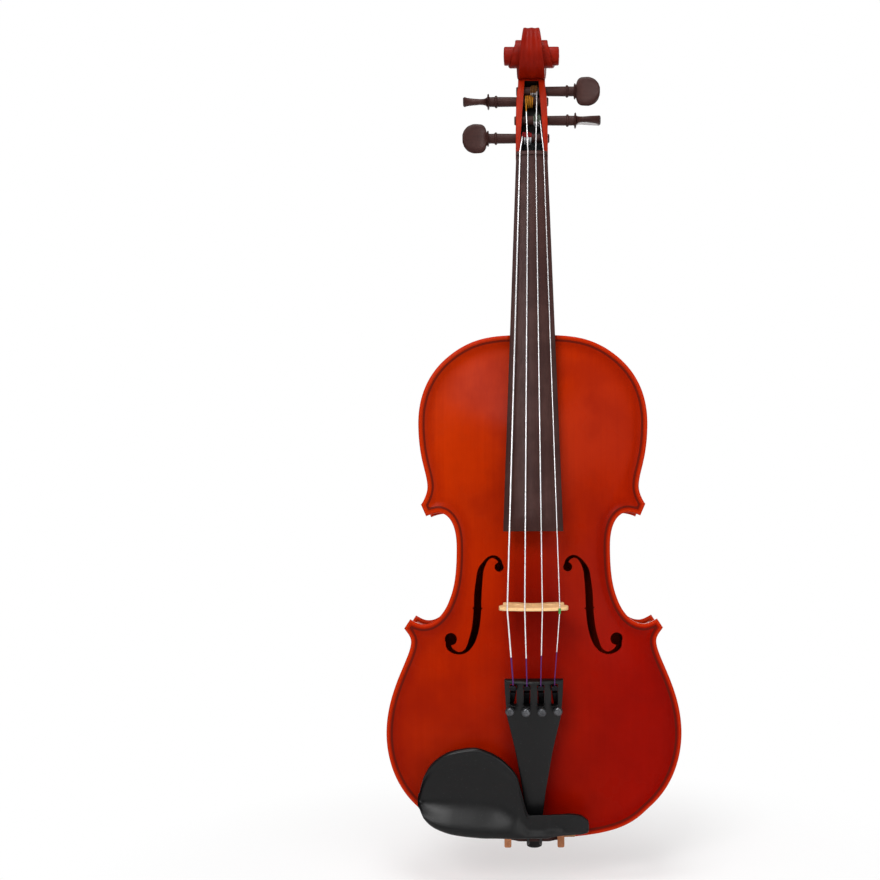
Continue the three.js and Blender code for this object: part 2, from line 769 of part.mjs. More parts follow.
// Pegbox: its front and back lines and its half width, in shares of the head's length along Z
// from the nut, of the head's depth, and of the pegbox's width
const pegboxBackShares = [
  [-0.03, 0.405], [-0.018, 0.46], [0, 0.53], [0.03, 0.59], [0.133, 0.645], [0.235, 0.685],
  [0.387, 0.73], [0.519, 0.782], [0.6, 0.83], [0.681, 0.885], [0.762, 0.925],
];
const pegboxFrontShares = [[-0.03, 0.13], [0, 0.145], [0.04, 0.155], [0.615, 0.47], [0.681, 0.56], [0.762, 0.66]];
const pegboxWidthShares = [[-0.03, 0.98], [0, 1], [0.184, 1], [0.458, 0.97], [0.6, 0.86], [0.762, 0.84]];
const pegboxBackWidthShares = [
  [-0.03, 0.5], [0, 0.72], [0.083, 0.9], [0.235, 0.97], [0.458, 0.93], [0.6, 0.84], [0.762, 0.84],
];
const pegboxChamfer = 1.2;
const cavityStartShare = 0.05;
const cavityEndShare = 0.628;

const headY = (table, share) => headDepth * along(table, share);

function pegboxRing(share) {
  const z = nutZ + share * headLength;
  const front = headY(pegboxFrontShares, share);
  const back = headY(pegboxBackShares, share);
  const wide = (pegboxWidth / 2) * along(pegboxWidthShares, share);
  const backWide = (pegboxWidth / 2) * along(pegboxBackWidthShares, share);
  return [V(-wide, front, z), V(wide, front, z), V(wide, back - 3 * pegboxChamfer, z),
    V(backWide - pegboxChamfer, back - pegboxChamfer / 2, z), V(0, back, z),
    V(pegboxChamfer - backWide, back - pegboxChamfer / 2, z), V(-wide, back - 3 * pegboxChamfer, z)];
}

function cavity() {
  const shares = [cavityStartShare, ...pegboxBackShares.map(([share]) => share)
    .filter((share) => share > cavityStartShare && share < cavityEndShare), cavityEndShare];
  return loft(shares.map((share) => {
    const z = nutZ + share * headLength;
    const t = (share - cavityStartShare) / (cavityEndShare - cavityStartShare);
    const half = lerp(cavityWidthAtNut, cavityWidthAtThroat, t) / 2;
    const floor = headY(pegboxBackShares, share) - pegboxFloor;
    const front = headY(pegboxFrontShares, share) - (t < 1 ? overrun : 0);
    return [V(-half, front, z), V(half, front, z), V(half, floor, z), V(-half, floor, z)];
  }));
}

// Volute: radius and half width against turns, from the back of the head over the top to the eye
const voluteStart = -0.32;
const voluteEyeTurn = 2;
const voluteStepsPerTurn = 24;
const voluteRadiusShares = [
  [-0.32, 1.14], [-0.25, 1.1], [-0.125, 1.05], [0, 1], [0.25, 0.95], [0.5, 0.85], [0.75, 0.7],
  [1, 0.58], [1.25, 0.51], [1.5, 0.44], [1.75, 0.38], [2, 0.33],
];
const voluteWidthShares = [
  [-0.32, 0.485], [-0.25, 0.465], [-0.125, 0.37], [0, 0.28], [0.125, 0.31], [0.25, 0.38], [0.5, 0.5],
  [0.75, 0.56], [1, 0.59], [1.125, 0.59], [1.25, 0.66], [1.5, 0.79], [1.75, 0.905], [2, 1],
];

function volute() {
  const perTurn = voluteStepsPerTurn;
  const last = Math.round((voluteEyeTurn + 1 - voluteStart) * perTurn);
  const turnOf = (i) => Math.min(voluteStart + i / perTurn, voluteEyeTurn);
  const radius = (i) => voluteRadius * along(voluteRadiusShares, turnOf(i));
  const half = (i) => (voluteWidth / 2) * along(voluteWidthShares, turnOf(i));
  const points = [];
  const place = (x, r, i) => {
    const angle = 2 * Math.PI * (voluteStart + i / perTurn);
    points.push(V(x, eyeY - r * Math.sin(angle), eyeZ + r * Math.cos(angle)));
    return points.length - 1;
  };
  const inner = last - perTurn;
  const sides = [1, -1].map((side) => ({
    rim: Array.from({ length: last + 1 }, (_, i) => place(side * half(i), radius(i), i)),
    step: Array.from({ length: inner + 1 }, (_, i) => place(side * half(i), radius(i + perTurn), i)),
  }));
  const triangles = [];
  const quad = (a, b, c, d) => triangles.push([a, b, c], [a, c, d]);
  sides.forEach(({ rim, step }, k) => {
    const face = (a, b, c, d) => (k ? quad(a, d, c, b) : quad(a, b, c, d));
    for (let i = 0; i < inner; i += 1) {
      face(rim[i], rim[i + 1], step[i + 1], step[i]);
      face(step[i], step[i + 1], rim[i + 1 + perTurn], rim[i + perTurn]);
    }
    const centre = points.push(V((k ? -1 : 1) * half(last), eyeY, eyeZ)) - 1;
    for (let i = inner; i < last; i += 1) {
      triangles.push(k ? [rim[i + 1], rim[i], centre] : [rim[i], rim[i + 1], centre]);
    }
  });
  const [p, m] = sides;
  for (let i = 0; i < perTurn - 1; i += 1) quad(p.rim[i + 1], p.rim[i], m.rim[i], m.rim[i + 1]);
  const i = perTurn - 1;
  triangles.push([p.rim[i], p.step[0], p.rim[i + 1]], [p.rim[i], m.step[0], p.step[0]],
    [p.rim[i], m.rim[i], m.step[0]], [m.rim[i], m.rim[i + 1], m.step[0]]);
  quad(p.rim[0], p.step[0], m.step[0], m.rim[0]);
  return welded(points, triangles);
}

// Pegs: place along the head and in its depth, side of the head, and the turn of the thumb piece
const pegs = [
  { name: 'c', side: -1, alongShare: 0.181, depthShare: 0.37, turn: 0 },
  { name: 'a', side: 1, alongShare: 0.328, depthShare: 0.46, turn: Math.PI * 0.585 },
  { name: 'g', side: -1, alongShare: 0.485, depthShare: 0.55, turn: Math.PI * 0.627 },
  { name: 'd', side: 1, alongShare: 0.573, depthShare: 0.608, turn: 0 },
];
const pegY = (peg) => headDepth * peg.depthShare;
const pegZ = (peg) => nutZ + headLength * peg.alongShare;
const pegboxHalfAt = (peg) => (pegboxWidth / 2) * along(pegboxWidthShares, peg.alongShare);

// Rings from the small end to the tip: place as a share of the stretch, and the two half sizes
const pegHeadShares = [
  [0, 0.4, 1], [0.08, 0.8, 0.82], [0.25, 0.98, 0.74], [0.5, 1, 0.84], [0.76, 0.86, 0.96], [0.93, 0.56, 1],
  [1, 0.28, 0.8],
];
const pegSides = 10;

function peg(item) {
  const shaft = pegShaftDiameter / 2;
  const collar = pegReach - pegHeadLength;
  const ringBack = collar - pegCollarDiameter / 2;
  const start = -(pegboxHalfAt(item) + pegEndProud);
  const rows = [
    [start, pegEndDiameter / 2], [ringBack - pegRingDiameter / 3, shaft],
    [ringBack - pegRingDiameter / 5, pegRingDiameter / 2], [ringBack, pegRingDiameter / 2],
    [ringBack + pegRingDiameter / 12, shaft], [collar - pegRingDiameter / 5, shaft],
    [collar - pegRingDiameter / 7, pegCollarDiameter / 2], [collar - fit, pegCollarDiameter / 2],
  ].map(([x, r]) => [x, r, r]);
  const head = pegHeadShares.map(([place, wide, thick]) =>
    [collar + place * pegHeadLength, (wide * pegHeadWidth) / 2, (thick * pegHeadThickness) / 2]);
  const rings = [...rows, ...head].map(([x, wide, thick]) =>
    Array.from({ length: pegSides }, (_, k) => {
      const angle = (2 * Math.PI * k) / pegSides;
      return V(item.side * x, thick * Math.sin(angle), wide * Math.cos(angle));
    }));
  return loft(rings).rotateX(item.turn);
}

function pegHole(item) {
  const reach = pegboxWidth;
  return rodAlongX(pegShaftDiameter / 2 + fit, -reach, reach, pegY(item), pegZ(item), roundSides);
}

function neck() {
  const shares = pegboxBackShares.map(([share]) => share);
  const head = join(loft(shares.map(pegboxRing)), volute());
  return cut(join(neckShaft(), head), cavity(), ...pegs.map(pegHole));
}

// Surface of the fingerboard across its width, above its edges
const crown = (x, half) => Math.sqrt(stringRadius ** 2 - x ** 2) - Math.sqrt(stringRadius ** 2 - half ** 2);
const boardSteps = 8;

function boardRing(z, extra) {
  const half = fingerboardWidth(z) / 2;
  const face = neckFace(z) - fit;
  const arc = Array.from({ length: boardSteps + 1 }, (_, i) => {
    const x = lerp(half, -half, i / boardSteps);
    return V(x, face - fingerboardEdge - extra - crown(x, half), z);
  });
  return [V(-half, face, z), V(half, face, z), ...arc];
}

function fingerboard() {
  return loft([boardRing(fingerboardEndZ, 0), boardRing(nutZ - fit, 0)]);
}

function nut() {
  return loft([boardRing(nutZ, nutProud), boardRing(nutZ + nutThickness / 2, nutProud),
    boardRing(nutZ + nutThickness, -nutFall)]);
}

function saddle() {
  const half = saddleWidth / 2;
  const inner = saddleLength - saddleOut;
  const ring = (x, height) => [V(x, -ribsFrom, -saddleOut + fit), V(x, -height, -saddleOut + fit),
    V(x, -height, inner / 2), V(x, -plateEdge, inner), V(x, -ribsFrom, inner)];
  const step = saddleWidth / 5;
  return loft([ring(-half, plateEdge + fit), ring(step - half, saddleHeight), ring(half - step, saddleHeight),
    ring(half, plateEdge + fit)]);
}

// Strings, from the bass side: where each crosses the nut, bridge and tailpiece
const stringShares = [-1, -1 / 3, 1 / 3, 1];
const strings = [
  { name: 'c', diameter: 1.15, share: stringShares[0], windingShare: -0.86 },
  { name: 'g', diameter: 0.95, share: stringShares[1], windingShare: -0.78 },
  { name: 'd', diameter: 0.82, share: stringShares[2], windingShare: 0.78 },
  { name: 'a', diameter: 0.7, share: stringShares[3], windingShare: 0.86 },
];

const bridgeBase = topOuter(0, bridgeZ);
const bridgeTopY = (x) => -(bridgeBase + bridgeHeight) + stringRadius - Math.sqrt(stringRadius ** 2 - x ** 2);

// The bridge's face towards the tail is flat; the other one slants, so that its top is thinner
const bridgeTopZ = bridgeZ - (bridgeThickness - bridgeTopThickness) / 2;

// Half of the bridge from foot to crown, in shares of half its width and of its height
const bridgeSideShares = [
  [0.89, 0.055], [0.84, 0.1], [0.72, 0.2], [0.64, 0.34], [0.74, 0.42], [0.88, 0.48], [0.975, 0.58],
  [0.985, 0.64], [0.97, 0.72], [0.95, 0.78],
];
const bridgeFootShares = [0.89, 0.75, 0.6, 0.42];
const kidneyShares = [
  [0.34, 0.42], [0.52, 0.4], [0.62, 0.47], [0.6, 0.56], [0.46, 0.56], [0.34, 0.5],
];
const heartShares = [[0, 0.4], [0.12, 0.52], [0.11, 0.58], [0.04, 0.59]];
const bridgeArchShares = [[0.38, 0.02], [0.3, 0.14], [0.12, 0.22]];
const bridgeTopSteps = 8;

function bridge() {
  const half = bridgeWidth / 2;
  const foot = (x) => plateWall / 2 - topOuter(x, bridgeZ);
  const place = ([a, b]) => new THREE.Vector2(a * half, -(bridgeBase + fit + b * bridgeHeight));
  const side = bridgeSideShares.map(place);
  const footRow = bridgeFootShares.map((a) => new THREE.Vector2(a * half, foot(a * half)));
  const arch = bridgeArchShares.map(place);
  const topHalf = side.at(-1).x;
  const top = Array.from({ length: bridgeTopSteps + 1 }, (_, i) => {
    const x = lerp(topHalf, -topHalf, i / bridgeTopSteps);
    return new THREE.Vector2(x, bridgeTopY(x));
  });
  const right = [...[...arch].reverse(), ...[...footRow].reverse(), ...side];
  const kidney = kidneyShares.map(place);
  const heartHalf = heartShares.map(place);
  const heart = [...heartHalf, ...mirrored(heartHalf.slice(1))];
  const shape = flatShape([...right, ...top, ...mirrored(right)], [kidney, mirrored(kidney), heart]);
  const body = new THREE.ExtrudeGeometry(shape, { depth: bridgeThickness, bevelEnabled: false });
  body.translate(0, 0, bridgeZ - bridgeThickness / 2);
  const zFoot = bridgeZ + bridgeThickness / 2;
  const zTop = zFoot - (bridgeThickness - bridgeTopThickness);
  const [yFoot, yTop] = [-bridgeBase - bridgeHeight / 4, -bridgeBase - bridgeHeight - overrun];
  const away = zFoot + overrun;
  const ring = (x) => [V(x, yFoot, zFoot), V(x, yTop, zTop), V(x, yTop, away), V(x, yFoot, away)];
  const wedge = loft([ring(-half - overrun), ring(half + overrun)]);
  return cut(body, wedge, plainTop.clone().translate(0, -fit, 0));
}

// Tailpiece: its own frame has its origin under the crown of the top end, +Z along it towards
// the strings and -Y out of its face
const tailpieceTopY = -(bridgeBase + bridgeHeight) + tailpieceTopDrop;
const tailpieceHalfShares = [
  [0, 1], [0.1, 0.98], [0.24, 0.93], [0.4, 0.735], [0.49, 0.632], [0.62, 0.52], [0.74, 0.413], [0.88, 0.325],
  [1, 0.25],
];
const tailpieceEdgeShares = [[0, 1], [0.3, 1], [1, 0.8]];
const tailpieceSteps = 8;
const tailpieceCrown = (x, half) =>
  Math.sqrt(tailpieceCrownRadius ** 2 - x ** 2) - Math.sqrt(tailpieceCrownRadius ** 2 - half ** 2);
const tailpieceHalf = (share) => (tailpieceWidth / 2) * along(tailpieceHalfShares, share);
const tailpieceThickness = tailpieceEdge + tailpieceCrown(0, tailpieceHalf(tunerSlotStart / tailpieceLength));
const tailpieceDrop = -(tailpieceTopY + tailpieceThickness + tailpieceEndHeight);
const tailpieceTilt = Math.asin(tailpieceDrop / tailpieceLength);
const tailpieceTopZ = tailpieceSetback + tailpieceLength * Math.cos(tailpieceTilt);

// Height of the face over the flat underside at a distance from the top end
function tailpieceFace(x, distance) {
  const share = distance / tailpieceLength;
  const half = tailpieceHalf(share);
  const crossing = Math.min(Math.abs(x), half);
  return tailpieceEdge * along(tailpieceEdgeShares, share) + tailpieceCrown(crossing, half);
}

function tailpiece() {
  const rings = tailpieceHalfShares.map(([share]) => {
    const half = tailpieceHalf(share);
    const distance = share * tailpieceLength;
    const arc = Array.from({ length: tailpieceSteps + 1 }, (_, i) => {
      const x = lerp(half, -half, i / tailpieceSteps);
      return V(x, -tailpieceFace(x, distance), -distance);
    });
    return [V(-half, 0, -distance), V(half, 0, -distance), ...arc];
  });
  const slots = slotPlaces.map((x) => box(x - tunerSlotWidth / 2, x + tunerSlotWidth / 2,
    -(tailpieceThickness + overrun), overrun, -(tunerSlotStart + tunerSlotLength), -tunerSlotStart));
  const bores = screwPlaces.map((x) => rodAlongY(tunerScrewDiameter / 2 + fit,
    -(tailpieceThickness + overrun), overrun, x, -tunerScrewDistance, 12));
  const pinBore = rodAlongX(tunerPinDiameter / 2 + fit, -tailpieceWidth, tailpieceWidth,
    -tunerPivotHeight, -tunerPivotDistance, 12);
  return cut(loft(rings), ...slots, ...bores, pinBore);
}

const slotPlaces = stringShares.map((share) => (share * tunerSlotSpan) / 2);
const screwPlaces = stringShares.map((share) => (share * tunerScrewSpan) / 2);

function tunerPin() {
  const half = tailpieceHalf(tunerPivotDistance / tailpieceLength) - fit;
  return rodAlongX(tunerPinDiameter / 2, -half, half, 0, 0, 10);
}

// Lever, seen from the side about its pivot: hook for the string above, arm under the screw. The
// arm's end is set over to the side by as much as the screw stands beside the slot.
function tunerLever(sideways) {
  const arm = tunerScrewDistance - tunerPivotDistance;
  const boss = leverBossDiameter / 2;
  const [armTop, armLow] = [-leverArmDrop, -(leverArmDrop + leverArmThickness)];
  const hook = leverHookHeight;
  const outline = [
    new THREE.Vector2(-boss, -boss / 2), new THREE.Vector2(boss / 2, -boss), new THREE.Vector2(boss, armLow),
    new THREE.Vector2(arm + boss, armLow), new THREE.Vector2(arm + boss, armTop),
    new THREE.Vector2(1.8 * boss, armTop), new THREE.Vector2(boss, 0), new THREE.Vector2(boss / 2, boss),
    new THREE.Vector2(-0.2 * boss, hook), new THREE.Vector2(-1.5 * boss, hook),
    new THREE.Vector2(-boss, boss),
  ];
  const bore = circle(tunerPinDiameter / 2 + fit, 10);
  const shape = flatShape(outline, [bore]);
  const body = new THREE.ExtrudeGeometry(shape, { depth: leverWidth, bevelEnabled: false });
  // The drawing's first axis becomes the way towards the end button, its second the way out
  const turn = new THREE.Matrix4().makeBasis(V(0, 0, -1), V(0, -1, 0), V(-1, 0, 0));
  const lever = body.translate(0, 0, -leverWidth / 2).applyMatrix4(turn);
  const place = lever.attributes.position;
  for (let i = 0; i < place.count; i += 1) {
    if (place.getZ(i) < -arm) place.setX(i, place.getX(i) + sideways);
  }
  return bare(lever);
}

// Underside of a screw's head at rest, clear of the highest part of the face under it by its travel
function tunerHeadBase(x) {
  const nearest = Math.max(Math.abs(x) - tunerHeadDiameter / 2, 0);
  const highest = tailpieceFace(nearest, tunerScrewDistance - tunerHeadDiameter / 2);
  return highest + tunerTravel + fit;
}

function tunerScrew(x) {
  const shank = tunerScrewDiameter / 2;
  const tip = tunerPivotHeight - leverArmDrop + fit;
  const base = tunerHeadBase(x);
  const head = tunerHeadDiameter / 2;
  const dome = [1, 0.94, 0.74, 0.42].map((r, i) =>
    new THREE.Vector2(r * head, base + ((i + 1) * tunerHeadHeight) / 4));
  const profile = [new THREE.Vector2(0, tip), new THREE.Vector2(shank, tip), new THREE.Vector2(shank, base),
    new THREE.Vector2(head, base), ...dome, new THREE.Vector2(0, base + tunerHeadHeight)];
  return new THREE.LatheGeometry(profile, 12).rotateX(Math.PI);
}

function inTailpieceFrame(mesh, x, height, distance) {
  mesh.position.set(x, -height, -distance);
  return mesh;
}

const tailpiecePlace = V(0, tailpieceTopY + tailpieceThickness, tailpieceTopZ);

// A point of the tailpiece's frame in the viola's
function fromTailpiece(x, height, distance) {
  return V(x, -height, -distance).applyEuler(new THREE.Euler(tailpieceTilt, 0, 0)).add(tailpiecePlace);
}

// String path: from the lever's hook over the bridge and the nut to the peg, then round it
const loopSteps = 24;
const stringSides = 6;

function stringPath({ diameter, share, windingShare }, item) {
  const radius = diameter / 2;
  const bridgeX = (share * bridgeStringSpan) / 2;
  const nutX = (share * nutStringSpan) / 2;
  const tailX = (share * tunerSlotSpan) / 2;
  const hookEnd = tunerPivotDistance - 1.5 * (leverBossDiameter / 2) - radius - fit;
  const hookHeight = tailpieceFace(tailX, tunerSlotStart) + fit + radius;
  const start = fromTailpiece(tailX, hookHeight, hookEnd);
  const lip = fromTailpiece(tailX, hookHeight, 0);
  const overBridge = V(bridgeX, bridgeTopY(bridgeX) - fit - radius, bridgeTopZ);
  const nutHalf = fingerboardWidth(nutZ) / 2;
  const nutTop = neckFace(nutZ) - fit - fingerboardEdge - nutProud - crown(nutX, nutHalf);
  const overNut = V(nutX, nutTop - fit - radius, nutZ + nutThickness / 2);

  const windingX = (windingShare * cavityHalfAt(item)) - Math.sign(windingShare) * radius;
  const loop = pegRadiusAt(item, windingX) + fit + radius;
  const centre = new THREE.Vector2(pegY(item), pegZ(item));
  const toNut = new THREE.Vector2(overNut.y, overNut.z).sub(centre);
  const direction = Math.atan2(toNut.y, toNut.x) - Math.acos(loop / toNut.length());
  const steps = windingTurns * loopSteps;
  const pitch = (diameter + windingPitchGap) * -Math.sign(windingShare);
  const winding = Array.from({ length: steps + 1 }, (_, i) => {
    const angle = direction - (2 * Math.PI * i) / loopSteps;
    const along = windingX + (pitch * i) / loopSteps;
    return V(along, centre.x + loop * Math.cos(angle), centre.y + loop * Math.sin(angle));
  });
  return [start, lip, overBridge, overNut, ...winding];
}

// Half width of the pegbox's cavity and radius of the shaft where a peg's string winds
function cavityHalfAt(item) {
  const t = (item.alongShare - cavityStartShare) / (cavityEndShare - cavityStartShare);
  return lerp(cavityWidthAtNut, cavityWidthAtThroat, t) / 2;
}

function pegRadiusAt(item, x) {
  const start = -(pegboxHalfAt(item) + pegEndProud);
  const end = pegReach - pegHeadLength - pegCollarDiameter / 2 - pegRingDiameter / 3;
  const t = (item.side * x - start) / (end - start);
  return Math.max(lerp(pegEndDiameter, pegShaftDiameter, t), lerp(pegEndDiameter, pegShaftDiameter, 0.5)) / 2;
}

// Least gap between the turns of one winding, on its points
function leastGap(path, radius) {
  const winding = path.slice(4);
  let least = Infinity;
  winding.forEach((point, i) => {
    for (let j = i + loopSteps / 2; j < winding.length; j += 1) {
      least = Math.min(least, point.distanceTo(winding[j]) - 2 * radius);
    }
  });
  return least;
}

// Tail gut: from under the tailpiece over the saddle and round the neck of the end button
function tailGut() {
  const radius = gutDiameter / 2;
  const loop = endButtonNeckDiameter / 2 + fit + radius;
  const out = -(saddleOut + radius);
  const half = loop;
  const under = fromTailpiece(0, -(2 * fit + radius), tailpieceLength * gutStartShare);
  const leg = [V(half * 0.7, under.y, under.z), V(half, -(saddleHeight + fit + radius), saddleLength / 2),
    V(half, -(saddleHeight + fit + radius), -saddleOut), V(half, -saddleHeight + radius, out - radius / 2),
    V(half, 0, out - radius), V(half, buttonY, gutLoopZ)];
  const bend = Array.from({ length: 7 }, (_, i) => {
    const angle = (Math.PI * (i + 1)) / 8;
    return V(loop * Math.cos(angle), buttonY + loop * Math.sin(angle), gutLoopZ);
  });
  const other = [...leg].reverse().map((point) => V(-point.x, point.y, point.z));
  return tube([...leg, ...bend, ...other], radius, 8);
}

const gutStartShare = 0.93;
const gutLoopZ = -(saddleOut + gutDiameter);

function endButton() {
  const neckRadius = endButtonNeckDiameter / 2;
  const collar = endButtonCollarDiameter / 2;
  const head = endButtonDiameter / 2;
  const atRib = plateOverhang - fit;
  const collarThickness = ribWall;
  const headTop = gutLoopZ - gutDiameter / 2 - fit;
  const rounding = head / 4;
  const profile = [
    [0, plateOverhang + endButtonShankLength], [neckRadius - fit, plateOverhang + endButtonShankLength],
    [neckRadius, atRib], [collar, atRib], [collar, atRib - collarThickness],
    [neckRadius, atRib - collarThickness], [neckRadius, headTop], [head - rounding, headTop], [head, headTop - rounding],
    [head, rounding - endButtonReach], [head - rounding, -endButtonReach], [0, -endButtonReach],
  ].map(([r, z]) => new THREE.Vector2(r, z)).reverse();
  return new THREE.LatheGeometry(profile, roundSides).rotateX(Math.PI / 2).translate(0, buttonY, 0);
}

// Chin rest: stations from its left end to its right, each a closed section in Z and height.
// Across is a share of its width from the middle of the viola, low and high are shares of its
// depth from the lower edge of the body, and lift says how far the underside clears the plate.
const chinRestStations = [
  { acrossShare: -0.67, lowShare: 0.4, highShare: 0.58, footShare: 0.6, rimShare: 0.8 },
  { acrossShare: -0.645, lowShare: 0.3, highShare: 0.75, footShare: 0.5, rimShare: 0.88 },
  { acrossShare: -0.58, lowShare: 0.2, highShare: 0.93, footShare: 0.45, rimShare: 0.96 },
  { acrossShare: -0.47, lowShare: 0.13, highShare: 1.045, footShare: 0.42, rimShare: 1 },
  { acrossShare: -0.35, lowShare: 0.1, highShare: 1.075, footShare: 0.4, rimShare: 1 },
  { acrossShare: -0.27, lowShare: 0.09, highShare: 1.035, footShare: 0.3, rimShare: 1 },
  { acrossShare: -0.2, lowShare: 0.09, highShare: 0.967, footShare: 0, rimShare: 1 },
  { acrossShare: -0.14, lowShare: 0.09, highShare: 0.868, footShare: 0, rimShare: 1 },
  { acrossShare: -0.1, lowShare: 0.09, highShare: 0.77, footShare: 0, rimShare: 0.98 },
  { acrossShare: -0.078, lowShare: 0.09, highShare: 0.62, footShare: 1, rimShare: 0.96 },
  { acrossShare: -0.03, lowShare: 0.09, highShare: 0.346, footShare: 1, rimShare: 0.94 },
  { acrossShare: 0.078, lowShare: 0.09, highShare: 0.346, footShare: 1, rimShare: 0.92 },
  { acrossShare: 0.1, lowShare: 0.1, highShare: 0.346, footShare: 0, rimShare: 0.9 },
  { acrossShare: 0.2, lowShare: 0.11, highShare: 0.346, footShare: 0, rimShare: 0.84 },
  { acrossShare: 0.27, lowShare: 0.13, highShare: 0.31, footShare: 0.3, rimShare: 0.76 },
  { acrossShare: 0.31, lowShare: 0.16, highShare: 0.25, footShare: 0.45, rimShare: 0.7 },
];
// Section of the rest: along is a share from its low edge to its high one, and up a share from
// its underside to its rim
const chinRestSectionShares = [
  [0, 0], [0, 0.5], [0, 0.84], [0.06, 0.96], [0.16, 0.93], [0.45, 0.66], [0.75, 0.8], [0.93, 1], [1, 0.95],
  [0.98, 0.72], [0.75, 0.45], [0.4, 0.2],
];

function chinRestRing(station) {
  const x = station.acrossShare * chinRestWidth;
  const low = station.lowShare * chinRestDepth;
  const high = station.highShare * chinRestDepth;
  const nearEnd = tailpieceLength * 0.9;
  const deck = fromTailpiece(0, tailpieceFace(0, nearEnd) + tailpieceClearance, nearEnd);
  const under = lerp(chinRestEdge, -deck.y, station.footShare);
  const rim = chinRestHeight * station.rimShare;
  return chinRestSectionShares.map(([a, up]) => V(x, -lerp(under, rim, up), lerp(low, high, a)));
}

const clampX = clampSpan / 2;
const clampZ = -clampStandOff;
const clampFootY = -(chinRestEdge + clampFootThickness);
const clampFootEnd = clampZ - clampRodDiameter / 2;

function clampFoot(grow) {
  const half = clampFootWidth / 2 + grow;
  return box(-half, half, clampFootY - grow, clampFootY + clampFootThickness + grow,
    clampFootEnd - grow, clampFootEnd + clampFootLength + grow);
}

function chinRest() {
  const recess = [1, -1].map((side) => clampFoot(fit).translate(side * clampX, 0, 0));
  return cut(loft(chinRestStations.map(chinRestRing)), ...recess);
}

function chinRestCork() {
  const half = corkLength / 2;
  const notch = saddleWidth / 2 + 2 * fit;
  const low = clampStandOff / 2;
  const deep = saddleLength - saddleOut + 4 * fit;
  const outline = [[-half, low], [-notch, low], [-notch, deep], [notch, deep], [notch, low], [half, low],
    [half, low + corkWidth], [-half, low + corkWidth]].map(([x, z]) => new THREE.Vector2(x, z));
  return prism(outline, -(plateEdge + fit + corkThickness), -(plateEdge + fit));
}

function clampLeg() {
  const rod = rodAlongY(clampRodDiameter / 2, clampFootY + clampFootThickness / 2,
    barrelFrom + clampRodEngagement - clampRodDiameter, 0, clampZ, 12);
  return join(clampFoot(0), rod);
}

const barrelFrom = (ribHeight - clampBarrelLength) / 2;

function clampBarrel() {
  const outer = rodAlongY(clampBarrelDiameter / 2, 0, clampBarrelLength, 0, 0, roundSides);
  const bore = rodAlongY(clampRodDiameter / 2 + fit, -overrun, clampBarrelLength + overrun, 0, 0, 12);
  return cut(outer, bore);
}

// Bracket over the edge of the back, scooped between its two feet, with a rod at each end
function lowerBracket() {
  const half = bracketWidth / 2;
  const face = ribHeight + plateEdge + fit;
  const end = clampZ - clampRodDiameter;
  const scoop = bracketLip / 2;
  const outline = [[-half, end], [half, end], [half, bracketLip], [clampX / 2, bracketLip], [clampX / 4, scoop],
    [-clampX / 4, scoop], [-clampX / 2, bracketLip], [-half, bracketLip]]
    .map(([x, z]) => new THREE.Vector2(x, z));
  const plate = prism(outline, face, face + bracketThickness);
  const rods = [1, -1].map((side) => rodAlongY(clampRodDiameter / 2,
    barrelFrom + clampBarrelLength - clampRodEngagement, face + bracketThickness / 2, side * clampX, clampZ, 12));
  return join(plate, ...rods);
}

// Finishes
const finish = (colour, roughness, metalness = 0) =>
  new THREE.MeshStandardMaterial({ color: colour, roughness, metalness });
const varnish = finish(0xa82a06, 0.3);
const bareSpruce = finish(0xd9b98a, 0.75);
const bareMaple = finish(0xf0cf94, 0.6);
const ebony = finish(0x3c2522, 0.45);
const blackComposite = finish(0x1e2021, 0.5);
const steel = finish(0xc9ccd0, 0.25, 1);
const darkSteel = finish(0x2a2b2c, 0.35, 0.9);
const warmMetal = finish(0xc8a58c, 0.35, 0.9);
const corkFinish = finish(0x9b6b45, 0.9);
const gutFinish = finish(0x191919, 0.6);

const viola = new THREE.Group();
viola.name = 'viola';
const layout = new THREE.Group();
viola.add(layout);

function add(name, geometry, material, parent = layout) {
  const mesh = new THREE.Mesh(geometry, material);
  mesh.name = name;
  parent.add(mesh);
  return mesh;
}

const sides = [['left', -1], ['right', 1]];

add('top_plate', topPlate(), varnish);
add('back_plate', backPlate(), varnish);
for (const stretch of ['upper', 'waist', 'lower']) {
  for (const [word, side] of sides) {
    add(`${stretch}_rib_${word}`, rib(stretch, side), varnish);
    add(`${stretch}_top_lining_${word}`, lining(stretch, side, true), bareSpruce);
    add(`${stretch}_back_lining_${word}`, lining(stretch, side, false), bareSpruce);
  }
}
add('upper_block', upperBlock(), bareSpruce);
add('lower_block', lowerBlock(), bareSpruce);
for (const [word, side] of sides) {
  add(`upper_corner_block_${word}`, cornerBlock(true, side), bareSpruce);
  add(`lower_corner_block_${word}`, cornerBlock(false, side), bareSpruce);
}
add('bass_bar', bassBar(), bareSpruce);
add('sound_post', soundPost(), bareSpruce);

add('neck', neck(), varnish);
add('fingerboard', fingerboard(), ebony);
add('nut', nut(), ebony);
add('saddle', saddle(), ebony);
add('bridge', bridge(), bareMaple);

for (const item of pegs) {
  add(`${item.name}_peg`, peg(item), ebony).position.set(0, pegY(item), pegZ(item));
}
for (const item of strings) {
  const path = stringPath(item, pegs.find((other) => other.name === item.name));
  add(`${item.name}_string`, tube(path, item.diameter / 2, stringSides), steel);
  const gap = leastGap(path, item.diameter / 2);
  console.log(`${item.name} string: least gap in its winding ${gap.toFixed(2)} mm`);
}

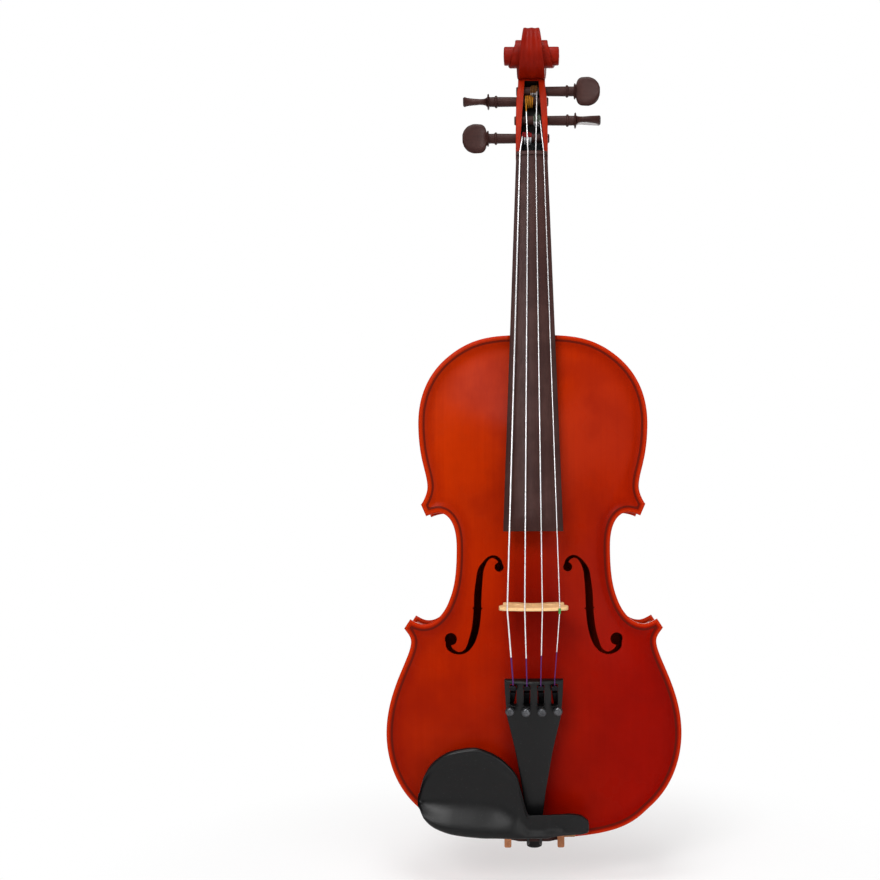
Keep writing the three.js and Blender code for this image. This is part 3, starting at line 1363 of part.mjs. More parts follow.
const tail = new THREE.Group();
tail.position.copy(tailpiecePlace);
tail.rotation.x = tailpieceTilt;
layout.add(tail);
add('tailpiece', tailpiece(), blackComposite, tail);
inTailpieceFrame(add('tuner_pin', tunerPin(), steel, tail), 0, tunerPivotHeight, tunerPivotDistance);
strings.forEach(({ name }, i) => {
  const [slotX, screwX] = [slotPlaces[i], screwPlaces[i]];
  const lever = add(`${name}_tuner_lever`, tunerLever(screwX - slotX), darkSteel, tail);
  inTailpieceFrame(lever, slotX, tunerPivotHeight, tunerPivotDistance);
  const screw = add(`${name}_tuner_screw`, tunerScrew(screwX), darkSteel, tail);
  inTailpieceFrame(screw, screwX, 0, tunerScrewDistance);
});

add('tail_gut', tailGut(), gutFinish);
add('end_button', endButton(), ebony);
add('chin_rest', chinRest(), blackComposite);
add('chin_rest_cork', chinRestCork(), corkFinish);
for (const [word, side] of sides) {
  add(`clamp_leg_${word}`, clampLeg(), warmMetal).position.x = side * clampX;
  add(`clamp_barrel_${word}`, clampBarrel(), warmMetal).position.set(side * clampX, barrelFrom, clampZ);
}
add('clamp_bracket', lowerBracket(), warmMetal);

const hangerY = eyeY;
const hangerZ = eyeZ - voluteRadius * voluteRadiusShares.at(-1)[1] - hangerDrop;
layout.position.set(0, -hangerY, -hangerZ);

export default viola;
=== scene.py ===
import math
from types import SimpleNamespace

import bmesh
import bpy
import numpy as np
from mathutils import Euler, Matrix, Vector
from mathutils.geometry import delaunay_2d_cdt


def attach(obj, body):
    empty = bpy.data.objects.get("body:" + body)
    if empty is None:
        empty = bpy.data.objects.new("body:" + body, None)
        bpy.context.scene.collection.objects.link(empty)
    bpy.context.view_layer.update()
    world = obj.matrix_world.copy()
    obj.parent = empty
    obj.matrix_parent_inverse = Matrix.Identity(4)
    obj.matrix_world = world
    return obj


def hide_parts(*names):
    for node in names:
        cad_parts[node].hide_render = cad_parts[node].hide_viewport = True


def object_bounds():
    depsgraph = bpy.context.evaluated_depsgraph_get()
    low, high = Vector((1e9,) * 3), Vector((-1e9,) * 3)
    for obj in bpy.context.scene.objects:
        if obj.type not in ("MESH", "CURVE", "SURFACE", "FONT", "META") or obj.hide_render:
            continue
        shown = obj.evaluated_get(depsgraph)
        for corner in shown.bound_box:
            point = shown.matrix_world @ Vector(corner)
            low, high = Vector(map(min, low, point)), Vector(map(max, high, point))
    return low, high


bl_info = {
    "name": "Viola",
    "version": (1, 0, 0),
    "blender": (4, 5, 0),
    "location": "View3D > Sidebar > Viola",
    "description": "Builds the looks of a viola round its packed solids",
    "category": "Add Mesh",
}

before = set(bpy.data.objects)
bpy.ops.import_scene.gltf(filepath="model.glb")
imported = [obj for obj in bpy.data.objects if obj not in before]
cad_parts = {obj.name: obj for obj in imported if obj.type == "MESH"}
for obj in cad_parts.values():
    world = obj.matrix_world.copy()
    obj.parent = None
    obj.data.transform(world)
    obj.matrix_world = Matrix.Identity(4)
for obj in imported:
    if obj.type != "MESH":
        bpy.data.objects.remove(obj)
CAD_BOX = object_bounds()

# Layout: millimetres from the lower edge of the body (Z) and from the glued face of the top plate (Y)
MILLIMETRES = 1000
LAYOUT_ORIGIN = np.array([0.0, 23.5, 616.571])
FIT = 0.3
TURN = 2 * math.pi
RING_SIDES = 32
FINE_RING_SIDES = 36
JOIN_WITHIN = 0.002
SHARP_FROM = 35
NECK_SHARP_FROM = 32
TURNED_SHARP_FROM = 40
PEG_SHARP_FROM = 48
PLATE_SHARP_FROM = 50
WINDING_SHARP_FROM = 60
ALL_SMOOTH = 180
MOVED_SHARE = 0.985
ROW_SHARE = 0.87


def lerp(a, b, t):
    return a + (b - a) * t


def smooth_step(low, high, value):
    t = np.clip((value - low) / (high - low), 0, 1)
    return t * t * (3 - 2 * t)


def framed(points):
    """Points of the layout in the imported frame, in metres."""
    return (np.asarray(points, float) - LAYOUT_ORIGIN) / MILLIMETRES


def srgb(red, green, blue):
    """A colour as seen on a screen, as the linear colour that a material holds."""
    shown = [value / 255 for value in (red, green, blue)]
    return tuple(v / 12.92 if v <= 0.04045 else ((v + 0.055) / 1.055) ** 2.4 for v in shown)


def length(name, millimetres, description):
    return bpy.props.FloatProperty(
        name=name, description=description, default=millimetres / MILLIMETRES, min=0, unit="LENGTH",
        precision=4
    )


def colour(name, red, green, blue, description):
    return bpy.props.FloatVectorProperty(
        name=name, description=description, default=srgb(red, green, blue), min=0, max=1, size=3,
        subtype="COLOR"
    )


class ViolaBodySizes(bpy.types.PropertyGroup):
    body_length: length("Body length", 394, "Length of the plates without the button")
    upper_width: length("Upper bout", 179.6, "Greatest width of the upper bout")
    waist_width: length("Waist", 120.2, "Least width of the waist")
    lower_width: length("Lower bout", 231.2, "Greatest width of the lower bout")
    rib_height: length("Rib height", 36, "Height of the ribs between the plates")
    rib_wall: length("Rib wall", 1.2, "Thickness of a rib")
    overhang: length("Overhang", 3, "How far the plates stand out past the ribs")
    edge_thickness: length("Edge thickness", 4, "Thickness of a plate at its edge")
    plate_wall: length("Plate wall", 3, "Thickness of a plate inside its channel")
    edge_rounding: length("Edge rounding", 1.7, "Radius of the plates' rounded edge")
    edge_flat: length("Edge flat", 3.5, "Width of the flat rim outside the channel")
    channel_distance: length("Channel distance", 9, "Place of the lowest line of the channel from the edge")
    channel_depth: length("Channel depth", 0.9, "Depth of the channel below the rim")
    top_arch: length("Top arch", 17, "Height of the top plate's arching")
    back_arch: length("Back arch", 15.5, "Height of the back plate's arching")
    purfling_distance: length("Purfling distance", 3.5, "Distance of the inlaid line from the edge")
    purfling_width: length("Purfling width", 1.7, "Width of the inlaid line")
    hole_length: length("Sound hole length", 77.9, "Length on which the sound holes' outline is set out")
    hole_spacing: length("Sound hole spacing", 85.6, "Distance between the middles of the sound holes")
    upper_eye: length("Upper eye", 7.1, "Diameter of a sound hole's upper eye")
    lower_eye: length("Lower eye", 9.7, "Diameter of a sound hole's lower eye")
    nick: length("Nick", 1.5, "Depth of the nicks at the middle of a sound hole")
    button_width: length("Button width", 20.4, "Width of the button under the heel")
    button_length: length("Button length", 14.5, "How far the button stands out above the body")


class ViolaNeckSizes(bpy.types.PropertyGroup):
    neck_length: length("Neck length", 142.2, "From the edge of the body to the nut")
    neck_stand: length("Neck stand", 11, "Height of the neck's face over the body's glued face")
    neck_rise: length("Neck rise", 17.8, "How far the neck's face leans back to the nut")
    depth_at_nut: length("Depth at nut", 14, "Depth of the neck under the nut")
    depth_at_heel: length("Depth at heel", 16.5, "Depth of the neck above the heel")
    mortise: length("Mortise", 7, "How far the heel is let into the body")
    heel_sweep: length("Heel sweep", 27, "Length of the curve from the button to the neck")
    board_length: length("Fingerboard length", 296.2, "Length of the fingerboard")
    board_edge: length("Fingerboard edge", 5, "Thickness of the fingerboard at its sides")
    board_end: length("Fingerboard end", 45.2, "Width of the fingerboard over the body")
    nut_width: length("Nut width", 24.8, "Width of the nut and of the fingerboard there")
    nut_thickness: length("Nut thickness", 4, "Length of the nut along the neck")
    nut_height: length("Nut height", 0.7, "How far the nut stands over the fingerboard")
    crown_radius: length("Crown radius", 46, "Radius across the fingerboard, the nut and the bridge")
    head_length: length("Head length", 109.7, "From the nut to the top of the scroll")
    head_depth: length("Head depth", 50, "Depth on which the head is set out")
    eye_depth: length("Eye place, depth", 23.5, "Place of the scroll's eye behind the glued face")
    eye_rise: length("Eye place, height", 624.6, "Place of the scroll's eye above the lower edge")
    volute_radius: length("Scroll radius", 21.15, "Radius of the scroll's outer turn at its top")
    volute_width: length("Scroll width", 44.4, "Width over both eyes of the scroll")
    pegbox_width: length("Pegbox width", 25.6, "Greatest width of the pegbox")
    cavity_at_nut: length("Cavity at nut", 19.4, "Width of the pegbox's cavity near the nut")
    cavity_at_throat: length("Cavity at throat", 11.4, "Width of the cavity under the scroll")
    pegbox_floor: length("Pegbox floor", 4.6, "Thickness behind the cavity")
    flute_depth: length("Flute depth", 1.3, "Depth of the two flutes down the back of the head")
    carving_edge: length("Carving edge", 0.9, "Width of the bevel along the head's edges")
    peg_shaft: length("Peg shaft", 7.6, "Diameter of a peg's shaft")
    peg_reach: length("Peg reach", 55.6, "From the middle of the pegbox to a peg's tip")
    peg_head_length: length("Peg head length", 19.6, "Length of a peg's head")
    peg_head_width: length("Peg head width", 23.4, "Width of a peg's head")
    peg_head_thickness: length("Peg head thickness", 7.8, "Greatest thickness of a peg's head")
    peg_collar: length("Peg collar", 12.4, "Diameter of a peg's collar")
    peg_ring: length("Peg ring", 9.6, "Diameter of the ring on a peg's shaft")


class ViolaFittingSizes(bpy.types.PropertyGroup):
    bridge_place: length("Bridge place", 183.407, "Height of the bridge above the lower edge")
    bridge_width: length("Bridge width", 52.5, "Width over the bridge's wings")
    bridge_height: length("Bridge height", 38, "Height of the bridge over the top plate")
    bridge_thickness: length("Bridge thickness", 4.2, "Thickness of the bridge at its feet")
    bridge_top: length("Bridge top", 2, "Thickness of the bridge under the strings")
    tail_length: length("Tailpiece length", 119, "Length of the tailpiece")
    tail_width: length("Tailpiece width", 44.2, "Greatest width of the tailpiece")
    tail_edge: length("Tailpiece edge", 3.5, "Thickness of the tailpiece at its sides")
    tail_crown: length("Tailpiece crown", 62, "Radius across the tailpiece's face")
    tail_fret: length("Tailpiece fret", 0.3, "Height of the raised line at the tailpiece's top end")
    slot_width: length("Tuner slot width", 5, "Width of a slot of the tailpiece")
    slot_length: length("Tuner slot length", 17, "Length of a slot of the tailpiece")
    screw_head: length("Screw head", 6.4, "Diameter of a fine tuner's head")
    screw_head_height: length("Screw head height", 3.2, "Height of a fine tuner's head")
    saddle_width: length("Saddle width", 36, "Width of the saddle")
    saddle_height: length("Saddle height", 8.2, "Height of the saddle over the body's glued face")
    gut: length("Tail gut", 2.2, "Diameter of the tail gut")
    button_diameter: length("End button", 12.4, "Diameter of the end button")
    rest_width: length("Chin rest width", 131, "Width on which the chin rest is set out")
    rest_depth: length("Chin rest depth", 70, "Depth on which the chin rest is set out")
    rest_height: length("Chin rest height", 29, "Height of the chin rest's rim")
    cork_thickness: length("Cork thickness", 2.6, "Thickness of the cork under the chin rest")
    barrel_diameter: length("Barrel diameter", 5, "Diameter of a clamp barrel")
    barrel_length: length("Barrel length", 23, "Length of a clamp barrel")
    bracket_width: length("Bracket width", 47, "Width of the clamp's bracket")


class ViolaStringSizes(bpy.types.PropertyGroup):
    c_diameter: length("C string", 1.15, "Diameter of the C string")
    g_diameter: length("G string", 0.95, "Diameter of the G string")
    d_diameter: length("D string", 0.82, "Diameter of the D string")
    a_diameter: length("A string", 0.7, "Diameter of the A string")
    nut_span: length("Span at nut", 18.6, "Distance of the outer strings at the nut")
    bridge_span: length("Span at bridge", 38.7, "Distance of the outer strings at the bridge")
    slot_span: length("Span at tailpiece", 31, "Distance of the outer strings and slots at the tailpiece")
    screw_span: length("Span of tuners", 36, "Distance of the outer fine tuners")
    winding_gap: length("Winding gap", 0.45, "Gap between the turns on a peg")
    silk: length("Silk", 20, "Length of the A string's silk above the tailpiece")
    sleeve: length("Sleeve", 4, "Length of the sleeve on the A string at the bridge")


class ViolaFinishes(bpy.types.PropertyGroup):
    top: colour("Top varnish", 147, 10, 0, "Varnish in the middle of the top plate")
    # Painted light: a lit copy of the top varnish, mixed in over the upper bout and the bass side.
    top_light: colour("Top varnish, painted light", 194, 52, 0, "Varnish lightened by painted light on the upper bout and the bass side")
    # The deep tone stands for thick varnish, and also serves as painted shadow down the middle of the top
    # plate.
    top_deep: colour("Top varnish, deep and shade", 108, 2, 0, "Varnish where it is thick, and painted shadow down the middle of the top")
    back: colour("Back varnish", 168, 44, 4, "Varnish of the back plate")
    back_deep: colour("Back varnish, deep", 104, 12, 0, "Varnish of the back's lower half")
    rim: colour("Rim", 188, 42, 4, "Worn varnish along the rims")
    purfling: colour("Purfling", 84, 20, 12, "Inlaid line along the edges")
    rib: colour("Rib varnish", 158, 32, 6, "Varnish of the ribs")
    head: colour("Head varnish", 150, 30, 2, "Varnish of the pegbox and the scroll")
    neck: colour("Neck", 230, 184, 116, "Bare maple of the neck")
    dark_wood: colour("Dark wood", 60, 34, 30, "Stained wood of the pegs, fingerboard, nut and saddle")
    composite: colour("Composite", 9, 9, 10, "Tailpiece and chin rest")
    bridge: colour("Bridge", 244, 202, 146, "Bare maple of the bridge")
    steel: colour("String winding", 240, 240, 242, "Bright winding of the strings")
    dark_steel: colour("Lever steel", 36, 36, 39, "Blackened steel of the fine tuners' levers")
    head_steel: colour("Screw steel", 98, 99, 102, "Worn steel of the fine tuners' heads")
    rose_metal: colour("Clamp metal", 182, 124, 90, "Plated metal of the chin rest's clamp")
    cork: colour("Cork", 168, 112, 66, "Cork under the chin rest")
    cavity: colour("Cavity", 16, 7, 5, "Inside of the pegbox")
    # The end button is set near black.
    button: colour("End button", 10, 7, 7, "Near-black colour of the end button")
    inner_wood: colour("Inner wood", 206, 168, 116, "Bare wood inside the body")
    tail_silk: colour("Tail silk", 92, 42, 116, "Silk at the tailpiece")
    c_silk: colour("C silk", 156, 10, 18, "Silk on the C string's peg")
    g_silk: colour("G silk", 206, 132, 16, "Silk on the G string's peg")
    d_silk: colour("D silk", 120, 74, 20, "Silk on the D string's peg")
    a_silk: colour("A silk", 104, 122, 104, "Silk on the A string's peg")
    sleeve: colour("Sleeve", 56, 150, 70, "Sleeve on the A string")
    floor: colour("Floor", 250, 250, 250, "Floor under the viola")


def measures(group):
    """The lengths of a property group, in millimetres."""
    return SimpleNamespace(**{
        p.identifier: getattr(group, p.identifier) * MILLIMETRES
        for p in group.bl_rna.properties
        if getattr(p, "unit", "") == "LENGTH"
    })


def sizes():
    """The sizes of the body, neck, fittings and strings, with the places where they meet."""
    scene = bpy.context.scene
    groups = (scene.viola_body, scene.viola_neck, scene.viola_fittings, scene.viola_strings)
    body, neck, fittings, strings = [measures(group) for group in groups]
    neck.neck_from = body.body_length
    body.bridge_at = fittings.bridge_place
    return body, neck, fittings, strings


# Curves and tables
def fair(rows, at):
    """Columns of a table at the given places, on a smooth line through its rows that doesn't overshoot."""
    rows = np.asarray(rows, float)
    places, values = rows[:, 0], rows[:, 1:]
    step = np.diff(places)[:, None]
    slope = np.diff(values, axis=0) / step
    tangent = np.zeros_like(values)
    rising = slope[:-1] * slope[1:] > 0
    total = np.where(rising, slope[:-1] + slope[1:], 1)
    tangent[1:-1] = np.where(rising, 2 * slope[:-1] * slope[1:] / total, 0)
    tangent[0], tangent[-1] = slope[0], slope[-1]
    at = np.clip(np.atleast_1d(np.asarray(at, float)), places[0], places[-1])
    k = np.clip(np.searchsorted(places, at) - 1, 0, len(places) - 2)
    s = (at - places[k])[:, None] / step[k]
    flat = 3 * s**2 - 2 * s**3
    return (
        values[k] * (1 - flat)
        + values[k + 1] * flat
        + step[k] * (tangent[k] * (s**3 - 2 * s**2 + s) + tangent[k + 1] * (s**3 - s**2))
    )


def fair_value(rows, at):
    return float(fair(rows, at)[0, 0])


def cubic_chain(points, spacing):
    """Points along a chain of cubic curves, at most a spacing apart."""
    points = np.asarray(points, float)
    line = [points[0]]
    for k in range(0, len(points) - 1, 3):
        a, b, c, d = points[k : k + 4]
        rough = sum(np.linalg.norm(q - p) for p, q in ((a, b), (b, c), (c, d)))
        steps = max(4, int(math.ceil(rough / spacing)))
        for i in range(1, steps + 1):
            t = i / steps
            line.append((1 - t) ** 3 * a + 3 * (1 - t) ** 2 * t * b + 3 * (1 - t) * t**2 * c + t**3 * d)
    return np.array(line)


def spline(points, steps, closed=False):
    """A Catmull-Rom line through points."""
    points = np.asarray(points, float)
    count = len(points)
    line = []
    for k in range(count if closed else count - 1):
        if closed:
            p = [points[(k + j) % count] for j in (-1, 0, 1, 2)]
        else:
            p = [points[min(max(k + j, 0), count - 1)] for j in (-1, 0, 1, 2)]
        for i in range(steps):
            t = i / steps
            line.append(
                0.5 * (2 * p[1] + (p[2] - p[0]) * t + (2 * p[0] - 5 * p[1] + 4 * p[2] - p[3]) * t**2
                       + (3 * p[1] - p[0] - 3 * p[2] + p[3]) * t**3)
            )
    if not closed:
        line.append(points[-1])
    return np.array(line)


def eased(points, reach, steps=3, closed=False):
    """A line with each corner rounded over a reach to both sides of it."""
    points = [np.asarray(p, float) for p in points]
    count = len(points)
    line = []
    for k, p in enumerate(points):
        if not closed and k in (0, count - 1):
            line.append(p)
            continue
        before, after = points[k - 1], points[(k + 1) % count]
        ends = []
        for other in (before, after):
            away = np.linalg.norm(other - p)
            ends.append(p + (other - p) * min(reach, away * 0.49) / max(away, 1e-9))
        for i in range(steps + 1):
            t = i / steps
            line.append((1 - t) ** 2 * ends[0] + 2 * (1 - t) * t * p + t**2 * ends[1])
    return np.array(line)


def respaced(line, count):
    """A line with evenly spaced points."""
    line = np.asarray(line, float)
    run = np.concatenate([[0], np.cumsum(np.linalg.norm(np.diff(line, axis=0), axis=1))])
    at = np.linspace(0, run[-1], count)
    return np.column_stack([np.interp(at, run, line[:, k]) for k in range(line.shape[1])])


def mirrored(line):
    return np.asarray(line)[::-1] * np.array([-1, 1])


def edge_gap(loop, points):
    """Distance of each point from a closed line."""
    step = np.roll(loop, -1, 0) - loop
    reach = np.maximum((step**2).sum(1), 1e-12)
    gaps = []
    for part in np.array_split(points, max(1, len(points) // 1500)):
        away = part[:, None, :] - loop[None]
        t = np.clip((away * step[None]).sum(2) / reach, 0, 1)
        gaps.append(np.sqrt(((away - t[..., None] * step[None]) ** 2).sum(2)).min(1))
    return np.concatenate(gaps)


def within(loop, points):
    """Which points lie inside a closed line."""
    ahead = np.roll(loop, -1, 0)
    inside = np.zeros(len(points), bool)
    for a, b in zip(loop, ahead):
        if a[1] == b[1]:
            continue
        crosses = (a[1] > points[:, 1]) != (b[1] > points[:, 1])
        at = a[0] + (points[:, 1] - a[1]) * (b[0] - a[0]) / (b[1] - a[1])
        inside ^= crosses & (points[:, 0] < at)
    return inside


def between(outline, holes):
    """A test that keeps the points inside an outline and outside its holes."""

    def stays(points):
        kept = within(outline, points)
        for loop in holes:
            kept &= ~within(loop, points)
        return kept

    return stays


def edge_drop(radius, gap):
    """How far a rounded edge falls below its face, by the distance from the rim."""
    short = np.maximum(radius - gap, 0)
    return radius - np.sqrt(np.maximum(radius**2 - short**2, 0))


def moved_in(line, distance, loop, closed=True):
    """An anticlockwise line moved inwards, without the points that come nearer to the loop."""
    if closed:
        ahead = np.roll(line, -1, 0) - np.roll(line, 1, 0)
    else:
        ahead = np.gradient(line, axis=0)
    inwards = np.column_stack([-ahead[:, 1], ahead[:, 0]])
    inwards /= np.maximum(np.linalg.norm(inwards, axis=1), 1e-9)[:, None]
    moved = line + inwards * distance
    return moved[edge_gap(loop, moved) > distance * MOVED_SHARE]


def lattice(low, high, spacing):
    """Points of an even triangular pattern."""
    rows = []
    for j, b in enumerate(np.arange(low[1], high[1], spacing * ROW_SHARE)):
        across = np.arange(low[0] + (j % 2) * spacing / 2, high[0], spacing)
        rows.append(np.column_stack([across, np.full(len(across), b)]))
    return np.concatenate(rows)


def triangulated(loops, loose, keep):
    """Points and triangles over closed lines and loose points. Keep says by their middles which stay."""
    points, edges = [], []
    for loop in loops:
        start, count = len(points), len(loop)
        points += [Vector(p) for p in loop]
        edges += [(start + i, start + (i + 1) % count) for i in range(count)]
    points += [Vector(p) for p in loose]
    found = delaunay_2d_cdt(points, edges, [], 0, 1e-5, False)
    plan = np.array([tuple(p) for p in found[0]])
    triangles = np.array(found[2])
    return plan, triangles[keep(plan[triangles].mean(1))]


def slab(plan, triangles, upper, lower):
    """Corners (x, height, z) and faces of the closed body between two heights over the same triangles."""
    used, numbered = np.unique(triangles, return_inverse=True)
    triangles = numbered.reshape(-1, 3)
    count = len(used)
    corners = np.concatenate([
        np.column_stack([plan[used, 0], height[used], plan[used, 1]]) for height in (upper, lower)
    ])
    sides = {tuple(e) for t in triangles for e in ((t[0], t[1]), (t[1], t[2]), (t[2], t[0]))}
    rim = [e for e in sides if (e[1], e[0]) not in sides]
    faces = [tuple(t) for t in triangles] + [tuple(t[::-1] + count) for t in triangles]
    faces += [(b, a, a + count, b + count) for a, b in rim]
    return corners, faces, used


def loft(rings, closed_ends=True):
    """Corners and faces of a skin over rings with the same number of points."""
    rings = np.asarray(rings, float)
    count = rings.shape[1]
    faces = []
    for j in range(len(rings) - 1):
        for k in range(count):
            a, b = j * count + k, j * count + (k + 1) % count
            faces.append((a, b, b + count, a + count))
    if closed_ends:
        last = (len(rings) - 1) * count
        faces += [tuple(range(count - 1, -1, -1)), tuple(range(last, last + count))]
    return rings.reshape(-1, 3), faces


def turned(profile, place, segments=RING_SIDES):
    """A turned piece: place puts each (across, depth, along) of its rows of (radius, along)."""
    angles = [TURN * k / segments for k in range(segments)]
    return loft([[place(r * math.cos(a), r * math.sin(a), along) for a in angles] for r, along in profile])


def together(*parts):
    """Several bodies as one list of corners and faces."""
    corners, faces = [], []
    for points, found in parts:
        start = sum(len(c) for c in corners)
        corners.append(np.asarray(points, float))
        faces += [tuple(int(i) + start for i in face) for face in found]
    return np.concatenate(corners), faces


# Pieces
def made_mesh(
    name, corners, faces, materials, crease=SHARP_FROM, in_frame=True, spots=None, marks=None,
    join=JOIN_WITHIN
):
    """A mesh with faces outwards. Spots are its faces' material numbers, marks its corners' named values."""
    mesh = bpy.data.meshes.new(name)
    points = framed(corners) if in_frame else np.asarray(corners, float) / MILLIMETRES
    mesh.from_pydata([tuple(p) for p in points], [], [tuple(int(i) for i in f) for f in faces])
    for material in materials:
        mesh.materials.append(material)
    if spots is not None:
        mesh.polygons.foreach_set("material_index", spots)
    for label, values in (marks or {}).items():
        layer = mesh.attributes.new(label, "FLOAT", "POINT")
        layer.data.foreach_set("value", np.asarray(values, np.float32))
    tidy_mesh(mesh, crease, join)
    return mesh


def tidy_mesh(mesh, crease, join=JOIN_WITHIN):
    work = bmesh.new()
    work.from_mesh(mesh)
    if join:
        bmesh.ops.remove_doubles(work, verts=work.verts, dist=join / MILLIMETRES)
        open_edges = [e for e in work.edges if e.is_boundary]
        if open_edges:
            bmesh.ops.holes_fill(work, edges=open_edges, sides=0)
    bmesh.ops.recalc_face_normals(work, faces=work.faces)
    work.to_mesh(mesh)
    work.free()
    mesh.shade_smooth()
    mesh.set_sharp_from_angle(angle=math.radians(crease))
    mesh.update()


def placed(name, mesh, body, stands_for=(), slot=None, bevel=0):
    """A piece of the viola in the scene, riding on its body."""
    piece = bpy.data.objects.new(name, mesh)
    bpy.context.scene.collection.objects.link(piece)
    if bevel:
        rounding = piece.modifiers.new("Rounded edges", "BEVEL")
        rounding.width = bevel / MILLIMETRES
        rounding.segments = 2
        rounding.limit_method = "ANGLE"
        rounding.angle_limit = math.radians(40)
        rounding.harden_normals = False
        rounding.use_clamp_overlap = True
    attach(piece, body)
    if stands_for:
        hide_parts(*stands_for)


def piece(name, skin, finish, node, slot, body="viola", bevel=0, **settings):
    """Builds a skin of corners and faces and puts it in the place of one solid."""
    placed(name, made_mesh(name, *skin, [finish], **settings), body, [node], slot, bevel)


def cut_away(mesh, tools):
    """Takes closed tool bodies out of a closed mesh."""
    target = bpy.data.objects.new("cut target", mesh)
    cutter_mesh = bpy.data.meshes.new("cut tools")
    corners, faces = together(*tools)
    cutter_mesh.from_pydata([tuple(p) for p in framed(corners)], [], faces)
    tidy_mesh(cutter_mesh, SHARP_FROM)
    cutter = bpy.data.objects.new("cut tools", cutter_mesh)
    for item in (target, cutter):
        bpy.context.scene.collection.objects.link(item)
    cut = target.modifiers.new("Cut", "BOOLEAN")
    cut.operation = "DIFFERENCE"
    cut.object = cutter
    cut.solver = "EXACT"
    cut.material_mode = "INDEX"
    bpy.context.view_layer.update()
    result = bpy.data.meshes.new_from_object(target.evaluated_get(bpy.context.evaluated_depsgraph_get()))
    for item in (target, cutter):
        bpy.data.objects.remove(item)
    bpy.data.meshes.remove(cutter_mesh)
    return result


def geometry_tree(name, inputs):
    """A geometry node tree with named inputs, and its nodes."""
    tree = bpy.data.node_groups.new(name, "GeometryNodeTree")
    tree.interface.new_socket(name="Geometry", in_out="INPUT", socket_type="NodeSocketGeometry")
    for label, kind, default in inputs:
        socket = tree.interface.new_socket(name=label, in_out="INPUT", socket_type=kind)
        if default is not None:
            socket.default_value = default
    tree.interface.new_socket(name="Geometry", in_out="OUTPUT", socket_type="NodeSocketGeometry")
    return tree, Nodes(tree)


def dress_and_end(nodes, given, out, shape):
    real = nodes.add("GeometryNodeRealizeInstances", {"Geometry": shape.outputs[0]})
    dressed = nodes.add(
        "GeometryNodeSetMaterial", {"Geometry": real.outputs[0], "Material": given["Material"]}
    )
    nodes.feed(out["Geometry"], dressed.outputs[0])


def grown(name, mesh, tree, values):
    """The mesh that a geometry node tree makes of another one."""
    carrier = bpy.data.objects.new(name, mesh)
    bpy.context.scene.collection.objects.link(carrier)
    modifier = carrier.modifiers.new(tree.name, "NODES")
    modifier.node_group = tree
    known = {s.name: s.identifier for s in tree.interface.items_tree if getattr(s, "in_out", "") == "INPUT"}
    for label, value in values.items():
        modifier[known[label]] = value
    bpy.context.view_layer.update()
    result = bpy.data.meshes.new_from_object(carrier.evaluated_get(bpy.context.evaluated_depsgraph_get()))
    bpy.data.objects.remove(carrier)
    result.name = name
    return result


# Node trees
class Nodes:
    """Adds nodes to one tree and links them."""

    def __init__(self, tree):
        self.tree = tree

    def add(self, kind, inputs=None, **settings):
        node = self.tree.nodes.new(kind)
        for name, value in settings.items():
            setattr(node, name, value)
        for name, value in (inputs or {}).items():
            self.feed(node.inputs[name], value)
        return node

    def feed(self, socket, value):
        if isinstance(value, bpy.types.NodeSocket):
            self.tree.links.new(value, socket)
        else:
            socket.default_value = value

    def number(self, operation, *values, clamp=False):
        node = self.add("ShaderNodeMath", operation=operation, use_clamp=clamp)
        for socket, value in zip(node.inputs, values):
            self.feed(socket, value)
        return node.outputs[0]

    def plus(self, first, second):
        return self.number("ADD", first, second)

    def minus(self, first, second):
        return self.number("SUBTRACT", first, second)

    def times(self, first, second):
        return self.number("MULTIPLY", first, second)

    def noise(self, where, scale, detail, **inputs):
        return self.add(
            "ShaderNodeTexNoise", {"Vector": where, "Scale": scale, "Detail": detail, **inputs}
        ).outputs[0]

    def range(self, value, low, high, to_low=0.0, to_high=1.0):
        node = self.add("ShaderNodeMapRange", interpolation_type="SMOOTHSTEP")
        for name, item in (
            ("Value", value), ("From Min", low), ("From Max", high), ("To Min", to_low),
            ("To Max", to_high)
        ):
            self.feed(node.inputs[name], item)
        return node.outputs["Result"]

    def mix(self, factor, first, second):
        node = self.add("ShaderNodeMix", data_type="RGBA")
        for index, item in ((0, factor), (6, first), (7, second)):
            if isinstance(item, (tuple, list)) and len(item) == 3:
                item = (*item, 1)
            self.feed(node.inputs[index], item)
        return node.outputs[2]

    def place(self, scale=(1, 1, 1), turn=(0, 0, 0)):
        where = self.add("ShaderNodeTexCoord").outputs["Object"]
        return self.add("ShaderNodeMapping", {"Vector": where, "Scale": scale, "Rotation": turn}).outputs[0]

    def axis(self, name):
        where = self.add("ShaderNodeTexCoord").outputs["Object"]
        return self.add("ShaderNodeSeparateXYZ", {"Vector": where}).outputs[name]

    def drive(self, label, value):
        """Feeds a socket of the material's shader."""
        self.feed(self.shader.inputs[label], value)

    def raised(self, height, distance):
        values = {"Height": height, "Strength": 1.0, "Distance": distance / MILLIMETRES}
        self.drive("Normal", self.add("ShaderNodeBump", values).outputs[0])

    def grouped(self, name, **inputs):
        node = self.add("ShaderNodeGroup", node_tree=bpy.data.node_groups[name])
        for label, value in inputs.items():
            self.feed(node.inputs[label.replace("_", " ")], value)
        return node.outputs

    def fibres(self, across, along, contrast, turn=(0, 0, 0)):
        where = self.place(turn=turn)
        return self.grouped("Wood fibres", Vector=where, Across=across, Along=along, Contrast=contrast)

    def handling(self, size):
        return self.grouped("Handling marks", Vector=self.place(), Size=size)


def effect(name, inputs, outputs):
    """Nodes, inputs and outputs of a new shader node group with named sockets."""
    tree = bpy.data.node_groups.new(name, "ShaderNodeTree")
    for label, kind, default in inputs:
        socket = tree.interface.new_socket(name=label, in_out="INPUT", socket_type=kind)
        if default is not None:
            socket.default_value = default
    for label, kind in outputs:
        tree.interface.new_socket(name=label, in_out="OUTPUT", socket_type=kind)
    nodes = Nodes(tree)
    return nodes, nodes.add("NodeGroupInput").outputs, nodes.add("NodeGroupOutput").inputs


